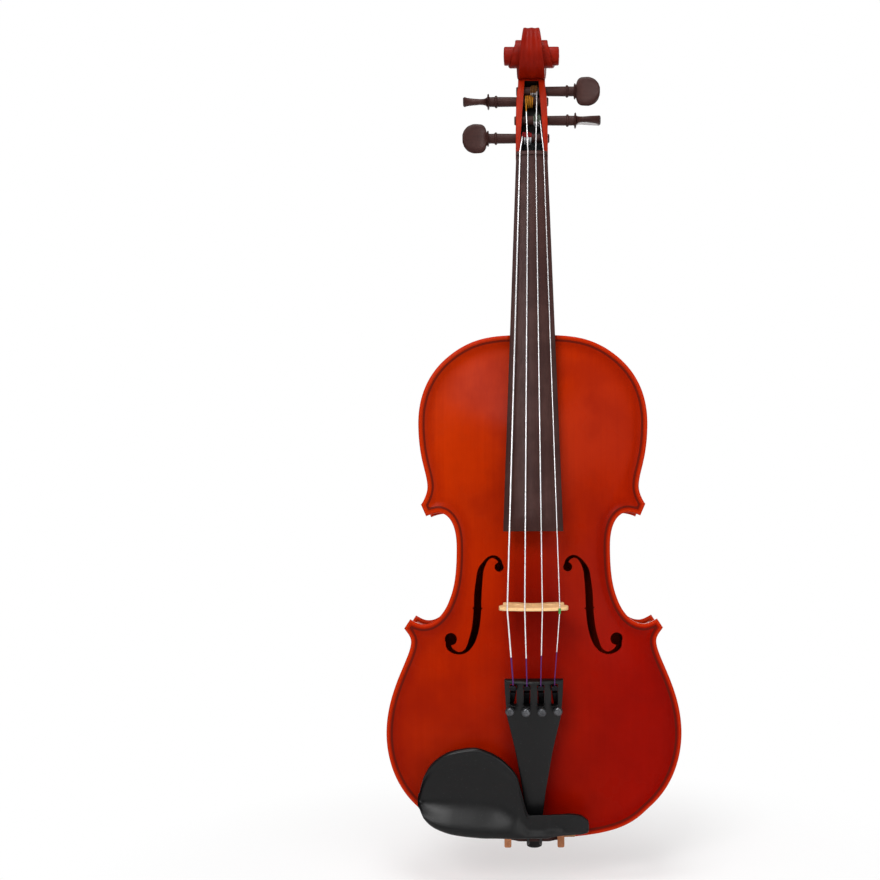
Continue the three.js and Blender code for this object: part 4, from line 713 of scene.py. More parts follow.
def fibres_group():
    """Wood fibres that run along the Z axis of the vector it is given."""
    nodes, given, out = effect(
        "Wood fibres",
        [
            ("Vector", "NodeSocketVector", None), ("Across", "NodeSocketFloat", 900.0),
            ("Along", "NodeSocketFloat", 18.0), ("Contrast", "NodeSocketFloat", 0.5)
        ],
        [("Fibre", "NodeSocketFloat"), ("Relief", "NodeSocketFloat")],
    )
    stretch = nodes.add(
        "ShaderNodeCombineXYZ", {"X": given["Across"], "Y": given["Across"], "Z": given["Along"]}
    )
    where = nodes.add(
        "ShaderNodeVectorMath", {0: given["Vector"], 1: stretch.outputs[0]}, operation="MULTIPLY"
    )
    fine = nodes.noise(where.outputs[0], 1.0, 6.0, Roughness=0.65)
    third = nodes.add(
        "ShaderNodeVectorMath", {0: where.outputs[0], 1: (0.31, 0.31, 0.31)}, operation="MULTIPLY"
    )
    wide = nodes.noise(third.outputs[0], 1.0, 3.0, Roughness=0.5)
    both = nodes.plus(nodes.times(fine, 0.6), nodes.times(wide, 0.4))
    shown = nodes.number(
        "MULTIPLY_ADD", nodes.minus(both, 0.5), nodes.times(given["Contrast"], 4.0), 0.5, clamp=True
    )
    nodes.feed(out["Fibre"], shown)
    nodes.feed(out["Relief"], fine)


def handling_group():
    """Faint smears and specks of dust from handling."""
    nodes, given, out = effect(
        "Handling marks",
        [("Vector", "NodeSocketVector", None), ("Size", "NodeSocketFloat", 30.0)],
        [("Smears", "NodeSocketFloat"), ("Specks", "NodeSocketFloat")],
    )
    cloud = nodes.noise(given["Vector"], given["Size"], 4.0, Roughness=0.6)
    nodes.feed(out["Smears"], nodes.range(cloud, 0.35, 0.7))
    grit_scale = nodes.times(given["Size"], 40.0)
    grit = nodes.noise(given["Vector"], grit_scale, 1.0)
    nodes.feed(out["Specks"], nodes.range(grit, 0.68, 0.78))


def trim_group():
    """Inlaid line, rim and channel of a plate from the distance to its edge."""
    nodes, given, out = effect(
        "Plate trim",
        [
            ("Distance", "NodeSocketFloat", 0.0), ("Line place", "NodeSocketFloat", 3.9),
            ("Line width", "NodeSocketFloat", 1.1)
        ],
        [("Line", "NodeSocketFloat"), ("Rim", "NodeSocketFloat"), ("Channel", "NodeSocketFloat")],
    )
    middle = nodes.plus(given["Line place"], nodes.times(given["Line width"], 0.5))
    off = nodes.number("ABSOLUTE", nodes.minus(given["Distance"], middle))
    half = nodes.times(given["Line width"], 0.5)
    nodes.feed(out["Line"], nodes.range(off, nodes.plus(half, 0.12), nodes.minus(half, 0.12)))
    nodes.feed(out["Rim"], nodes.range(given["Distance"], 3.4, 1.2))
    nodes.feed(out["Channel"], nodes.range(given["Distance"], 16.0, 6.0))


def finish_of(name, roughness, **settings):
    """A material and its nodes. Settings are plain values of its shader's sockets."""
    material = bpy.data.materials.new(name)
    material.use_nodes = True
    nodes = Nodes(material.node_tree)
    nodes.shader = next(n for n in material.node_tree.nodes if n.type == "BSDF_PRINCIPLED")
    for label, value in {"Roughness": roughness, **settings}.items():
        nodes.drive(label.replace("_", " "), value)
    return material, nodes


def top_varnish(colours, trim):
    material, nodes = finish_of(
        "Top varnish", 0.34, Coat_Weight=0.01, Coat_Roughness=0.2, Specular_IOR_Level=0.03
    )
    fibres = nodes.fibres(950.0, 5.0, 0.35)
    marks = nodes.handling(12.0)
    height = nodes.axis("Z")
    across = nodes.number("ABSOLUTE", nodes.axis("X"))
    # Painted light: the upper bout and the bass side are mixed towards the lit varnish tone, as where light
    # falls from above and from the left.
    upper = nodes.times(nodes.range(height, -0.5, -0.24), 0.55)
    bass = nodes.times(nodes.range(nodes.axis("X"), 0.09, -0.09), 0.45)
    # Painted shadow: a strip down the middle of the lower top, under the strings, tailpiece and chin rest, is
    # darkened towards the deep tone.
    centre = nodes.times(nodes.range(across, 0.034, 0.012), nodes.range(height, -0.36, -0.41))
    base = nodes.mix(nodes.plus(upper, bass), colours.top, colours.top_light)
    base = nodes.mix(nodes.times(marks["Smears"], 0.45), base, colours.top_deep)
    base = nodes.mix(nodes.times(centre, 0.55), base, colours.top_deep)
    base = nodes.mix(nodes.times(fibres["Fibre"], 0.36), base, colours.top_deep)
    add_trim(nodes, base, colours, trim)
    rough = nodes.range(marks["Smears"], 0.0, 1.0, 0.26, 0.36)
    nodes.drive("Roughness", rough)
    nodes.raised(fibres["Relief"], 0.008)
    return material


def add_trim(nodes, base, colours, trim):
    distance = nodes.add("ShaderNodeAttribute", attribute_name="edge_distance").outputs["Fac"]
    lines = nodes.grouped("Plate trim", Distance=distance, Line_place=trim[0], Line_width=trim[1])
    base = nodes.mix(nodes.times(lines["Channel"], 0.3), base, colours.top_deep)
    base = nodes.mix(nodes.times(lines["Rim"], 0.8), base, colours.rim)
    base = nodes.mix(nodes.times(lines["Line"], 0.85), base, colours.purfling)
    nodes.drive("Base Color", base)


def back_varnish(colours, trim):
    material, nodes = finish_of(
        "Back varnish", 0.34, Coat_Weight=0.01, Coat_Roughness=0.2, Specular_IOR_Level=0.03
    )
    fibres = nodes.fibres(1300.0, 30.0, 0.5)
    marks = nodes.handling(9.0)
    side = nodes.axis("X")
    seam = nodes.range(nodes.number("ABSOLUTE", side), 0.0007, 0.0002)
    lower = nodes.range(nodes.axis("Z"), -0.38, -0.56)
    half = nodes.range(side, 0.0002, -0.0002)
    base = nodes.mix(nodes.times(lower, 0.6), colours.back, colours.back_deep)
    base = nodes.mix(nodes.times(half, 0.14), base, colours.back_deep)
    base = nodes.mix(nodes.times(marks["Smears"], 0.5), base, colours.back_deep)
    base = nodes.mix(nodes.times(fibres["Fibre"], 0.6), base, colours.back_deep)
    base = nodes.mix(nodes.times(seam, 0.5), base, colours.purfling)
    add_trim(nodes, base, colours, trim)
    nodes.raised(fibres["Relief"], 0.008)
    return material


def rib_varnish(colours):
    material, nodes = finish_of(
        "Rib varnish", 0.34, Coat_Weight=0.03, Coat_Roughness=0.22, Specular_IOR_Level=0.08
    )
    flame = nodes.noise(nodes.place((150, 14, 150)), 1.0, 3.0)
    fibres = nodes.fibres(700.0, 700.0, 0.3)
    base = nodes.mix(nodes.range(flame, 0.38, 0.62, 0.0, 0.55), colours.rib, colours.back_deep)
    base = nodes.mix(nodes.times(fibres["Fibre"], 0.15), base, colours.rim)
    nodes.drive("Base Color", base)
    nodes.raised(fibres["Relief"], 0.015)
    return material


def neck_wood(colours):
    material, nodes = finish_of("Neck wood", 0.4, Specular_IOR_Level=0.08)
    fibres = nodes.fibres(800.0, 16.0, 0.5)
    blur = nodes.noise(nodes.place((60, 60, 24)), 1.0, 4.0)
    height = nodes.plus(nodes.axis("Z"), nodes.times(nodes.minus(blur, 0.5), 0.022))
    low = nodes.range(height, -0.2, -0.186)
    high = nodes.range(height, -0.089, -0.104)
    bare = nodes.times(low, high)
    wood = nodes.mix(nodes.times(fibres["Fibre"], 0.4), colours.neck, srgb(150, 96, 40))
    patch = nodes.range(blur, 0.45, 0.7, 0.0, 0.75)
    wood = nodes.mix(patch, wood, srgb(170, 120, 62))
    edge = nodes.mix(nodes.times(fibres["Fibre"], 0.35), colours.head, colours.back_deep)
    shade = nodes.noise(nodes.place((40, 90, 30)), 1.0, 3.0)
    edge = nodes.mix(nodes.range(shade, 0.4, 0.7, 0.0, 0.5), edge, colours.rim)
    scroll = nodes.times(nodes.range(nodes.axis("Z"), -0.022, -0.006), 0.6)
    edge = nodes.mix(scroll, edge, colours.top_deep)
    nodes.drive("Base Color", nodes.mix(bare, edge, wood))
    nodes.drive("Roughness", nodes.range(bare, 0.0, 1.0, 0.46, 0.55))
    nodes.raised(fibres["Relief"], 0.01)
    return material


def dark_wood(colours, along="Z"):
    """Stained hardwood with its fibres along one axis."""
    material, nodes = finish_of("Dark wood along " + along, 0.42, Specular_IOR_Level=0.12)
    turn = (0, math.pi / 2, 0) if along == "X" else (0, 0, 0)
    fibres = nodes.fibres(1500.0, 60.0, 0.6, turn)
    marks = nodes.handling(40.0)
    base = nodes.mix(nodes.times(fibres["Fibre"], 0.55), colours.dark_wood, srgb(34, 20, 20))
    base = nodes.mix(nodes.times(marks["Smears"], 0.16), base, srgb(104, 72, 66))
    nodes.drive("Base Color", base)
    nodes.drive("Roughness", nodes.range(fibres["Fibre"], 0.0, 1.0, 0.36, 0.52))
    nodes.raised(fibres["Relief"], 0.03)
    return material


def composite(colours):
    material, nodes = finish_of("Charcoal composite", 0.38, Specular_IOR_Level=0.26)
    marks = nodes.handling(24.0)
    grain = nodes.noise(nodes.place(), 2600.0, 2.0)
    base = nodes.mix(nodes.times(marks["Smears"], 0.35), colours.composite, srgb(5, 5, 6))
    base = nodes.mix(nodes.times(marks["Specks"], 0.16), base, srgb(92, 92, 92))
    nodes.drive("Base Color", base)
    nodes.drive("Roughness", nodes.range(marks["Smears"], 0.0, 1.0, 0.34, 0.42))
    nodes.raised(grain, 0.02)
    return material


def bare_wood(name, tone, deep, across=1100.0):
    material, nodes = finish_of(name, 0.6, Specular_IOR_Level=0.3)
    fibres = nodes.fibres(across, 22.0, 0.5)
    nodes.drive("Base Color", nodes.mix(nodes.times(fibres["Fibre"], 0.5), tone, deep))
    nodes.drive("Roughness", nodes.range(fibres["Fibre"], 0.0, 1.0, 0.52, 0.68))
    nodes.raised(fibres["Relief"], 0.04)
    return material


def bridge_wood(colours):
    """Maple with short dark flecks across its face."""
    material, nodes = finish_of("Bridge maple", 0.5, Specular_IOR_Level=0.35)
    fibres = nodes.fibres(1400.0, 70.0, 0.5, (0, math.pi / 2, 0))
    fleck = nodes.noise(nodes.place((240, 900, 900)), 1.0, 2.0)
    base = nodes.mix(nodes.times(fibres["Fibre"], 0.35), colours.bridge, srgb(206, 152, 88))
    base = nodes.mix(nodes.range(fleck, 0.6, 0.7, 0.0, 0.45), base, srgb(176, 112, 60))
    nodes.drive("Base Color", base)
    nodes.raised(fibres["Relief"], 0.03)
    return material


def metal(name, tone, deep, roughness, scratch=0.01):
    material, nodes = finish_of(name, roughness, Metallic=1.0)
    marks = nodes.handling(90.0)
    lines = nodes.noise(nodes.place((4000, 400, 4000)), 1.0, 2.0)
    nodes.drive("Base Color", nodes.mix(nodes.times(marks["Smears"], 0.5), tone, deep))
    nodes.drive("Roughness", nodes.range(marks["Smears"], 0.0, 1.0, roughness * 0.8, roughness * 1.3))
    nodes.raised(lines, scratch)
    return material


def winding_steel(colours):
    """Flat wire wound round a string: ridges along the run of the string."""
    material, nodes = finish_of("String winding", 0.3, Metallic=0.5)
    run = nodes.add("ShaderNodeAttribute", attribute_name="run").outputs["Fac"]
    ridge = nodes.number("SINE", nodes.times(run, TURN * 4))
    marks = nodes.handling(60.0)
    nodes.drive(
        "Base Color", nodes.mix(nodes.times(marks["Smears"], 0.2), colours.steel, srgb(196, 190, 186))
    )
    nodes.drive("Roughness", nodes.range(marks["Smears"], 0.0, 1.0, 0.24, 0.4))
    nodes.raised(ridge, 0.0015)
    return material


def silk(name, tone):
    """Thread wound round the end of a string."""
    material, nodes = finish_of(name, 0.7, Specular_IOR_Level=0.3)
    run = nodes.add("ShaderNodeAttribute", attribute_name="run").outputs["Fac"]
    thread = nodes.number("SINE", nodes.times(run, TURN * 3))
    dark = tuple(value * 0.45 for value in tone)
    nodes.drive("Base Color", nodes.mix(nodes.range(thread, -1.0, 1.0, 0.0, 0.6), tone, dark))
    nodes.raised(thread, 0.05)
    return material


def cork_finish(colours):
    material, nodes = finish_of("Cork", 0.85, Specular_IOR_Level=0.2)
    cells = nodes.add("ShaderNodeTexVoronoi", {"Vector": nodes.place(), "Scale": 900.0})
    patch = nodes.noise(nodes.place(), 260.0, 4.0)
    base = nodes.mix(nodes.range(patch, 0.45, 0.65, 0.0, 0.7), colours.cork, srgb(104, 62, 32))
    nodes.drive(
        "Base Color",
        nodes.mix(nodes.range(cells.outputs["Distance"], 0.2, 0.6, 0.0, 0.3), base, srgb(200, 150, 96))
    )
    nodes.raised(cells.outputs["Distance"], 0.1)
    return material


def gut_finish():
    material, nodes = finish_of("Black cord", 0.5, Specular_IOR_Level=0.4)
    grain = nodes.noise(nodes.place(), 700.0, 3.0)
    nodes.drive(
        "Base Color",
        nodes.mix(nodes.range(grain, 0.4, 0.7, 0.0, 0.7), srgb(22, 22, 24), srgb(52, 50, 50))
    )
    nodes.raised(grain, 0.04)
    return material


def sleeve_finish(colours):
    material, nodes = finish_of("Sleeve", 0.45, Specular_IOR_Level=0.4)
    grain = nodes.noise(nodes.place(), 900.0, 2.0)
    nodes.drive(
        "Base Color",
        nodes.mix(nodes.range(grain, 0.4, 0.7, 0.0, 0.6), colours.sleeve, srgb(36, 104, 48))
    )
    nodes.raised(grain, 0.03)
    return material


def palette():
    """The finishes of the viola, each made once."""
    found = palette.__dict__.get("found")
    if found is None:
        scene = bpy.context.scene
        colours = SimpleNamespace(**{
            p.identifier: tuple(getattr(scene.viola_finishes, p.identifier))
            for p in scene.viola_finishes.bl_rna.properties
            if getattr(p, "subtype", "") == "COLOR"
        })
        body = measures(scene.viola_body)
        trim = (body.purfling_distance, body.purfling_width)
        for made in (fibres_group, handling_group, trim_group):
            made()
        found = SimpleNamespace(
            top=top_varnish(colours, trim),
            back=back_varnish(colours, trim),
            ribs=rib_varnish(colours),
            neck=neck_wood(colours),
            dark_along=dark_wood(colours, "Z"),
            dark_across=dark_wood(colours, "X"),
            composite=composite(colours),
            cavity=bare_wood("Cavity wood", colours.cavity, srgb(6, 3, 3)),
            button=bare_wood("End button wood", colours.button, srgb(8, 6, 6)),
            inner=bare_wood("Bare inner wood", colours.inner_wood, srgb(160, 116, 66)),
            bridge=bridge_wood(colours),
            winding=winding_steel(colours),
            dark_steel=metal("Blackened steel", colours.dark_steel, srgb(16, 16, 18), 0.34),
            head_steel=metal("Worn steel", colours.head_steel, srgb(52, 52, 55), 0.36),
            rose=metal("Plated clamp metal", colours.rose_metal, srgb(120, 74, 50), 0.3),
            cork=cork_finish(colours),
            gut=gut_finish(),
            sleeve=sleeve_finish(colours),
            tail_silk=silk("Tail silk", colours.tail_silk),
            peg_silk={n: silk(f"{n.upper()} silk", getattr(colours, f"{n}_silk")) for n in "cgda"},
            floor=colours.floor,
        )
        palette.found = found
    return found


# Body outline: chains of cubic curves, in shares of half the width and of the length
UPPER_BOUT_SHARES = [
    (0, 1), (0.302, 1), (0.507, 1.0003), (0.735, 0.9579), (0.915, 0.9246), (1, 0.878), (1, 0.8249),
    (1, 0.7525), (0.922, 0.7269), (0.922, 0.698), (0.922, 0.687), (0.953, 0.6713), (0.979, 0.6635),
]
WAIST_SHARES = [
    (0.857, 0.6404), (0.735, 0.6447), (0.558, 0.6472), (0.5, 0.6472), (0.385, 0.6472), (0, 0.6406),
    (0, 0.5787),
    (0, 0.5203), (0.055, 0.4949), (0.157, 0.469), (0.255, 0.4442), (0.43, 0.4254), (0.632, 0.4254),
    (0.73, 0.4254), (0.814, 0.4315), (0.886, 0.4355),
]
LOWER_BOUT_SHARES = [
    (0.877, 0.4173), (0.855, 0.4081), (0.831, 0.4012), (0.831, 0.3909), (0.831, 0.3586), (1, 0.2959),
    (1, 0.2081),
    (1, 0.1843), (0.984, 0.1142), (0.792, 0.0635), (0.68, 0.034), (0.609, 0), (0, 0),
]
WAIST_MIDDLE_SHARE = 0.5787
WIDEST_SHARES = (0.2, 0.79)
OUTLINE_SPACING = 1.4


def half_outline(body):
    """The right edge in three lines: upper bout, waist and lower bout, from the top down."""
    upper_half, waist_half, lower_half = body.upper_width / 2, body.waist_width / 2, body.lower_width / 2
    upper_tip = UPPER_BOUT_SHARES[-1][0] * upper_half
    lower_tip = LOWER_BOUT_SHARES[0][0] * lower_half
    upper = [(a * upper_half, b * body.body_length) for a, b in UPPER_BOUT_SHARES]
    waist = [
        (lerp(waist_half, upper_tip if b > WAIST_MIDDLE_SHARE else lower_tip, a), b * body.body_length)
        for a, b in WAIST_SHARES
    ]
    lower = [(a * lower_half, b * body.body_length) for a, b in LOWER_BOUT_SHARES]
    lines = [cubic_chain(points, OUTLINE_SPACING) for points in (upper, waist, lower)]
    upper_end = (lines[0][-1] + lines[1][0]) / 2
    lower_end = (lines[1][-1] + lines[2][0]) / 2
    ease = [np.linspace(a, b, 5)[1:-1] for a, b in (
        (lines[0][-1], upper_end), (upper_end, lines[1][0]), (lines[1][-1], lower_end),
        (lower_end, lines[2][0])
    )]
    return [
        np.concatenate([lines[0], ease[0], [upper_end]]),
        np.concatenate([[upper_end], ease[1], lines[1], ease[2], [lower_end]]),
        np.concatenate([[lower_end], ease[3], lines[2]]),
    ]


def body_outline(body):
    """The closed edge of the plates, anticlockwise from the lower edge."""
    upper, waist, lower = half_outline(body)
    half = np.concatenate([upper, waist[1:], lower[1:]])[::-1]
    return np.concatenate([half, mirrored(half)[1:-1]])


def arch_rise(body, plan):
    """Share of the arching's full height at each point, and the height's own share of the crown."""
    long = body.body_length
    low, high = (share * long for share in WIDEST_SHARES)
    halves = [width / 2 for width in (body.lower_width, body.waist_width, body.upper_width)]
    share = plan[:, 1] / long
    below = lerp(halves[0], halves[1], smooth_step(WIDEST_SHARES[0], WAIST_MIDDLE_SHARE, share))
    above = lerp(halves[1], halves[2], smooth_step(WAIST_MIDDLE_SHARE, WIDEST_SHARES[1], share))
    half = np.where(share < WAIST_MIDDLE_SHARE, below, above) - body.channel_distance
    near = np.clip(plan[:, 1], low, high)
    end = np.where(near == low, low, long - high) - body.channel_distance
    bend = 2.5
    out = np.minimum(
        (np.abs(plan[:, 0] / half) ** bend + np.abs((plan[:, 1] - near) / end) ** bend) ** (1 / bend),
        1
    )
    crest = 1 - 0.1 * ((near - (low + high) / 2) / ((high - low) / 2)) ** 2
    return np.cos(out * math.pi / 2) ** 1.7, crest


def plate_heights(body, arch, plan, rim_gap, gap):
    """Outer and inner height of a plate. The gaps are from its whole rim and from the body's outline."""
    lowest = body.edge_thickness - body.channel_depth
    channel = lerp(body.edge_thickness, lowest, smooth_step(body.edge_flat, body.channel_distance, gap))
    rise, crest = arch_rise(body, plan)
    near = body.channel_distance * 0.6
    height = channel + (arch * crest - lowest) * rise * smooth_step(near, near * 2.3, gap)
    drop = edge_drop(body.edge_rounding, rim_gap)
    under = smooth_step(body.overhang + body.rib_wall, body.channel_distance * 1.4, gap)
    inner = np.maximum(height - body.plate_wall, 0) * under
    return height - drop, inner + np.minimum(drop, body.edge_rounding * 0.8)


RIM_SHARES = (0.06, 0.25, 0.6, 1.0, 1.5, 2.1, 2.6, 3.3, 4.2, 5.3, 6.6, 8.0)


def plate_points(body, outline, holes):
    """Loose points: lines along the rim, and an even pattern inside them."""
    rows = [moved_in(outline, share * body.edge_rounding, outline) for share in RIM_SHARES]
    deepest = RIM_SHARES[-1] * body.edge_rounding
    spacing = 3.2
    inside = lattice((-body.lower_width / 2, 0), (body.lower_width / 2, body.body_length), spacing)
    inside = inside[within(outline, inside)]
    inside = inside[edge_gap(outline, inside) > deepest + spacing * 0.6]
    for hole in holes:
        inside = inside[edge_gap(hole, inside) > spacing * 0.35]
    return np.concatenate([*rows, inside])


# Sound hole on the treble side, from its middle, in shares of its length
HOLE_LINE_SHARES = [
    (-0.226, 0.399), (-0.214, 0.44), (-0.184, 0.471), (-0.142, 0.484), (-0.1, 0.467), (-0.066, 0.43),
    (-0.024, 0.354),
    (-0.009, 0.27), (0.006, 0.118), (0.011, -0.034), (0.022, -0.17), (0.04, -0.268), (0.063, -0.345),
    (0.088, -0.402),
    (0.126, -0.455), (0.192, -0.483), (0.262, -0.463), (0.303, -0.42), (0.308, -0.37),
]
HOLE_WIDTH_SHARES = [
    0.035, 0.037, 0.034, 0.028, 0.027, 0.035, 0.058, 0.066, 0.075, 0.077, 0.077, 0.074, 0.07, 0.057,
    0.038, 0.027,
    0.042, 0.055, 0.05,
]
UPPER_EYE_SHARES = (-0.208, 0.38)
LOWER_EYE_SHARES = (0.282, -0.344)
HOLE_RISE = -0.5
NICK_AT = 9.0


def ring_of(centre, radius, count=26):
    return np.array([
        (centre[0] + radius * math.cos(TURN * k / count), centre[1] + radius * math.sin(TURN * k / count))
        for k in range(count)
    ])


def sound_hole(body, fittings):
    """Closed lines that together make the treble side's sound hole."""
    middle = np.array([body.hole_spacing / 2, fittings.bridge_place + HOLE_RISE])
    steps = 7
    line = spline(np.array(HOLE_LINE_SHARES) * body.hole_length + middle, steps)
    half = spline([(w * body.hole_length / 2, 0) for w in HOLE_WIDTH_SHARES], steps)[:, 0]
    ahead = np.gradient(line, axis=0)
    ahead /= np.linalg.norm(ahead, axis=1)[:, None]
    aside = np.column_stack([-ahead[:, 1], ahead[:, 0]]) * half[:, None]
    stem = np.concatenate([line + aside, (line - aside)[::-1]])
    eyes = [
        ring_of(np.array(share) * body.hole_length + middle, size / 2)
        for share, size in ((UPPER_EYE_SHARES, body.upper_eye), (LOWER_EYE_SHARES, body.lower_eye))
    ]
    k = int(NICK_AT * steps)
    nicks = []
    for side in (1, -1):
        root = line[k] + side * aside[k] * 0.9
        tip = line[k] + side * aside[k] * (1 + body.nick / half[k])
        nicks.append(np.array([root - ahead[k] * body.nick * 0.7, root + ahead[k] * body.nick * 0.7, tip]))
    return [stem, *eyes, *nicks]


def heel_half(neck):
    """Half the width of the neck's front where it enters the body."""
    return board_width(neck, neck.neck_from) / 2


def build_plates():
    body, neck, fittings, _ = sizes()
    finish = palette()
    outline = body_outline(body)
    hole = sound_hole(body, fittings)
    holes = hole + [mirrored(loop) for loop in hole]
    half = heel_half(neck) + FIT
    saddle_half = fittings.saddle_width / 2 + FIT
    top_of, out = body.body_length, 30
    mortise = np.array(
        [
            (half, top_of - neck.mortise - FIT), (half, top_of + out), (-half, top_of + out),
            (-half, top_of - neck.mortise - FIT)
        ]
    )
    seat = 5.5 + FIT
    notch = np.array([(-saddle_half, -out), (saddle_half, -out), (saddle_half, seat), (-saddle_half, seat)])
    loose = plate_points(body, outline, holes)
    openings = [*holes, mortise, notch]
    plan, triangles = triangulated([outline, *openings], loose, between(outline, openings))
    gap = edge_gap(outline, plan)
    outer, inner = plate_heights(body, body.top_arch, plan, gap, gap)
    corners, faces, used = slab(plan, triangles, -outer, -inner)
    marks = {"edge_distance": np.concatenate([gap[used], gap[used]])}
    piece(
        "top_plate_shell", (corners, faces), finish.top, "top_plate", "varnished_wood",
        crease=PLATE_SHARP_FROM,
        marks=marks, join=0
    )

    radius = body.button_width / 2
    reach = body.button_length - radius
    tab = [(radius, top_of - 4), (radius, top_of + reach)]
    tab += [
        (radius * math.cos(math.pi * k / 24), top_of + reach + radius * math.sin(math.pi * k / 24))
        for k in range(1, 24)
    ]
    tab = np.array(tab + [(-radius, top_of + reach), (-radius, top_of - 4)])
    tab_rows = [moved_in(tab, share * body.edge_rounding, tab) for share in RIM_SHARES[:5]]
    loose = np.concatenate([plate_points(body, outline, []), *tab_rows])
    plan, triangles = triangulated([outline, tab], loose, lambda p: within(outline, p) | within(tab, p))
    gap = edge_gap(outline, plan) * np.where(within(outline, plan), 1, -1)
    root = (np.abs(plan[:, 0]) < radius + 0.01) & (plan[:, 1] > top_of - 6)
    rim_gap = np.where(root, edge_gap(tab, plan) + np.where(plan[:, 1] < top_of - 0.5, 9, 0), np.abs(gap))
    outer, inner = plate_heights(body, body.back_arch, plan, rim_gap, np.maximum(gap, 0))
    corners, faces, used = slab(plan, triangles, body.rib_height + outer, body.rib_height + inner)
    distance = np.where(root[used] & (gap[used] < 1), 20.0, gap[used])
    distance = np.where(root[used] & (gap[used] >= 1), np.maximum(gap[used], 2.9), distance)
    marks = {"edge_distance": np.concatenate([distance, distance])}
    piece(
        "back_plate_shell", (corners, faces), finish.back, "back_plate", "varnished_wood",
        crease=PLATE_SHARP_FROM,
        marks=marks, join=0
    )


def build_ribs():
    body, neck, _, _ = sizes()
    finish = palette()
    outline = body_outline(body)
    clear = heel_half(neck) + FIT
    seam = 0.15
    for stretch, line in zip(("upper", "waist", "lower"), half_outline(body)):
        paths = []
        for distance in (body.overhang, body.overhang + body.rib_wall):
            moved = moved_in(line[::-1], distance, outline, closed=False)
            edge = clear if stretch == "upper" else seam
            paths.append(respaced(moved[moved[:, 0] >= edge], 150))
        for side in (1, -1):
            rings = []
            for (xo, zo), (xi, zi) in zip(*paths):
                rings.append([
                    (side * xo, FIT / 2, zo), (side * xo, body.rib_height - FIT / 2, zo),
                    (side * xi, body.rib_height - FIT / 2, zi), (side * xi, FIT / 2, zi),
                ])
            name = f"{stretch}_rib_{'right' if side > 0 else 'left'}"
            piece(name + "_strip", loft(rings), finish.ribs, name, "varnished_wood")


# Neck
def neck_face(neck, z):
    return lerp(-neck.neck_stand, neck.neck_rise - neck.neck_stand, (z - neck.neck_from) / neck.neck_length)


def board_width(neck, z):
    nut_at = neck.neck_from + neck.neck_length
    return lerp(neck.nut_width, neck.board_end, (nut_at - z) / neck.board_length)


def neck_ring(body, neck, z):
    count = 36
    heel_end = body.body_length + body.button_length
    t = min(max((z - heel_end) / neck.heel_sweep, 0), 1)
    heel = 1 - math.sqrt(1 - (1 - t) ** 2)
    along = min(max((z - body.body_length) / neck.neck_length, 0), 1)
    face = neck_face(neck, z)
    depth = lerp(lerp(neck.depth_at_heel, neck.depth_at_nut, along), body.rib_height - FIT - face, heel)
    roundness = lerp(2.15, 6, heel)
    wide = board_width(neck, max(z, body.body_length)) / 2
    ring = []
    for i in range(count + 1):
        angle = math.pi * i / count
        down = math.sin(angle) ** (2 / roundness) if 0 < i < count else 0
        out = math.copysign(abs(math.cos(angle)) ** (2 / roundness), math.cos(angle))
        half = lerp(wide, lerp(wide, body.button_width / 2, down), heel)
        ring.append((out * half, face + depth * down, z))
    return ring


PEGBOX_BACK_SHARES = [
    (-0.03, 0.405), (-0.018, 0.46), (0, 0.53), (0.03, 0.59), (0.133, 0.645), (0.235, 0.685), (0.387, 0.73),
    (0.519, 0.782), (0.6, 0.83), (0.681, 0.885), (0.762, 0.925),
]
PEGBOX_FRONT_SHARES = [(-0.03, 0.13), (0, 0.145), (0.04, 0.155), (0.615, 0.47), (0.681, 0.56), (0.762, 0.66)]
PEGBOX_WIDTH_SHARES = [(-0.03, 0.98), (0, 1), (0.184, 1), (0.458, 0.97), (0.6, 0.86), (0.762, 0.84)]
PEGBOX_BACK_WIDTH_SHARES = [
    (-0.03, 0.5), (0, 0.72), (0.083, 0.9), (0.235, 0.97), (0.458, 0.93), (0.6, 0.84), (0.762, 0.84),
]
CAVITY_SHARES = (0.05, 0.628)
FLUTE_STEPS = 8


def fluted(half, edge, depth):
    """Half of a ridged back from its edge to its middle: (place across, depth of the hollow)."""
    steps = [k / FLUTE_STEPS for k in range(FLUTE_STEPS + 1)]
    return [((half - edge) * (1 - s), depth * math.sin(math.pi * s) ** 2) for s in steps]


def pegbox_ring(neck, share, hollow):
    z = neck.neck_from + neck.neck_length + share * neck.head_length
    front = neck.head_depth * fair_value(PEGBOX_FRONT_SHARES, share)
    back = neck.head_depth * fair_value(PEGBOX_BACK_SHARES, share)
    wide = neck.pegbox_width / 2 * fair_value(PEGBOX_WIDTH_SHARES, share)
    back_wide = neck.pegbox_width / 2 * fair_value(PEGBOX_BACK_WIDTH_SHARES, share)
    cavity = cavity_half(neck, min(max(share, CAVITY_SHARES[0]), CAVITY_SHARES[1]))
    floor = back - neck.pegbox_floor
    edge = neck.carving_edge
    flute = neck.flute_depth * float(smooth_step(0.0, 0.2, share))
    outer = [(wide - edge, front), (wide - edge * 0.3, front + edge * 0.3), (wide, front + edge)]
    for k in range(1, 7):
        down = k / 6
        outer.append((lerp(wide, back_wide, down**2.4), lerp(front + edge, back - edge * 1.6, down)))
    outer.append((back_wide - edge * 0.3, back - edge * 0.5))
    outer += [(x, back - sunk) for x, sunk in fluted(back_wide, edge, flute)]
    inner = [
        (cavity, front), (cavity - 0.1, lerp(front, floor, 0.5)), (cavity - 0.4, floor - 2),
        (cavity - 1.2, floor - 0.6), (cavity - 2.6, floor)
    ]
    if not hollow:
        inner = [(x, front) for x, _ in inner]
    half = [inner[-1], *inner[-2::-1], *outer]
    return [(x, y, z) for x, y in half] + [(-x, y, z) for x, y in half[::-1][1:]]


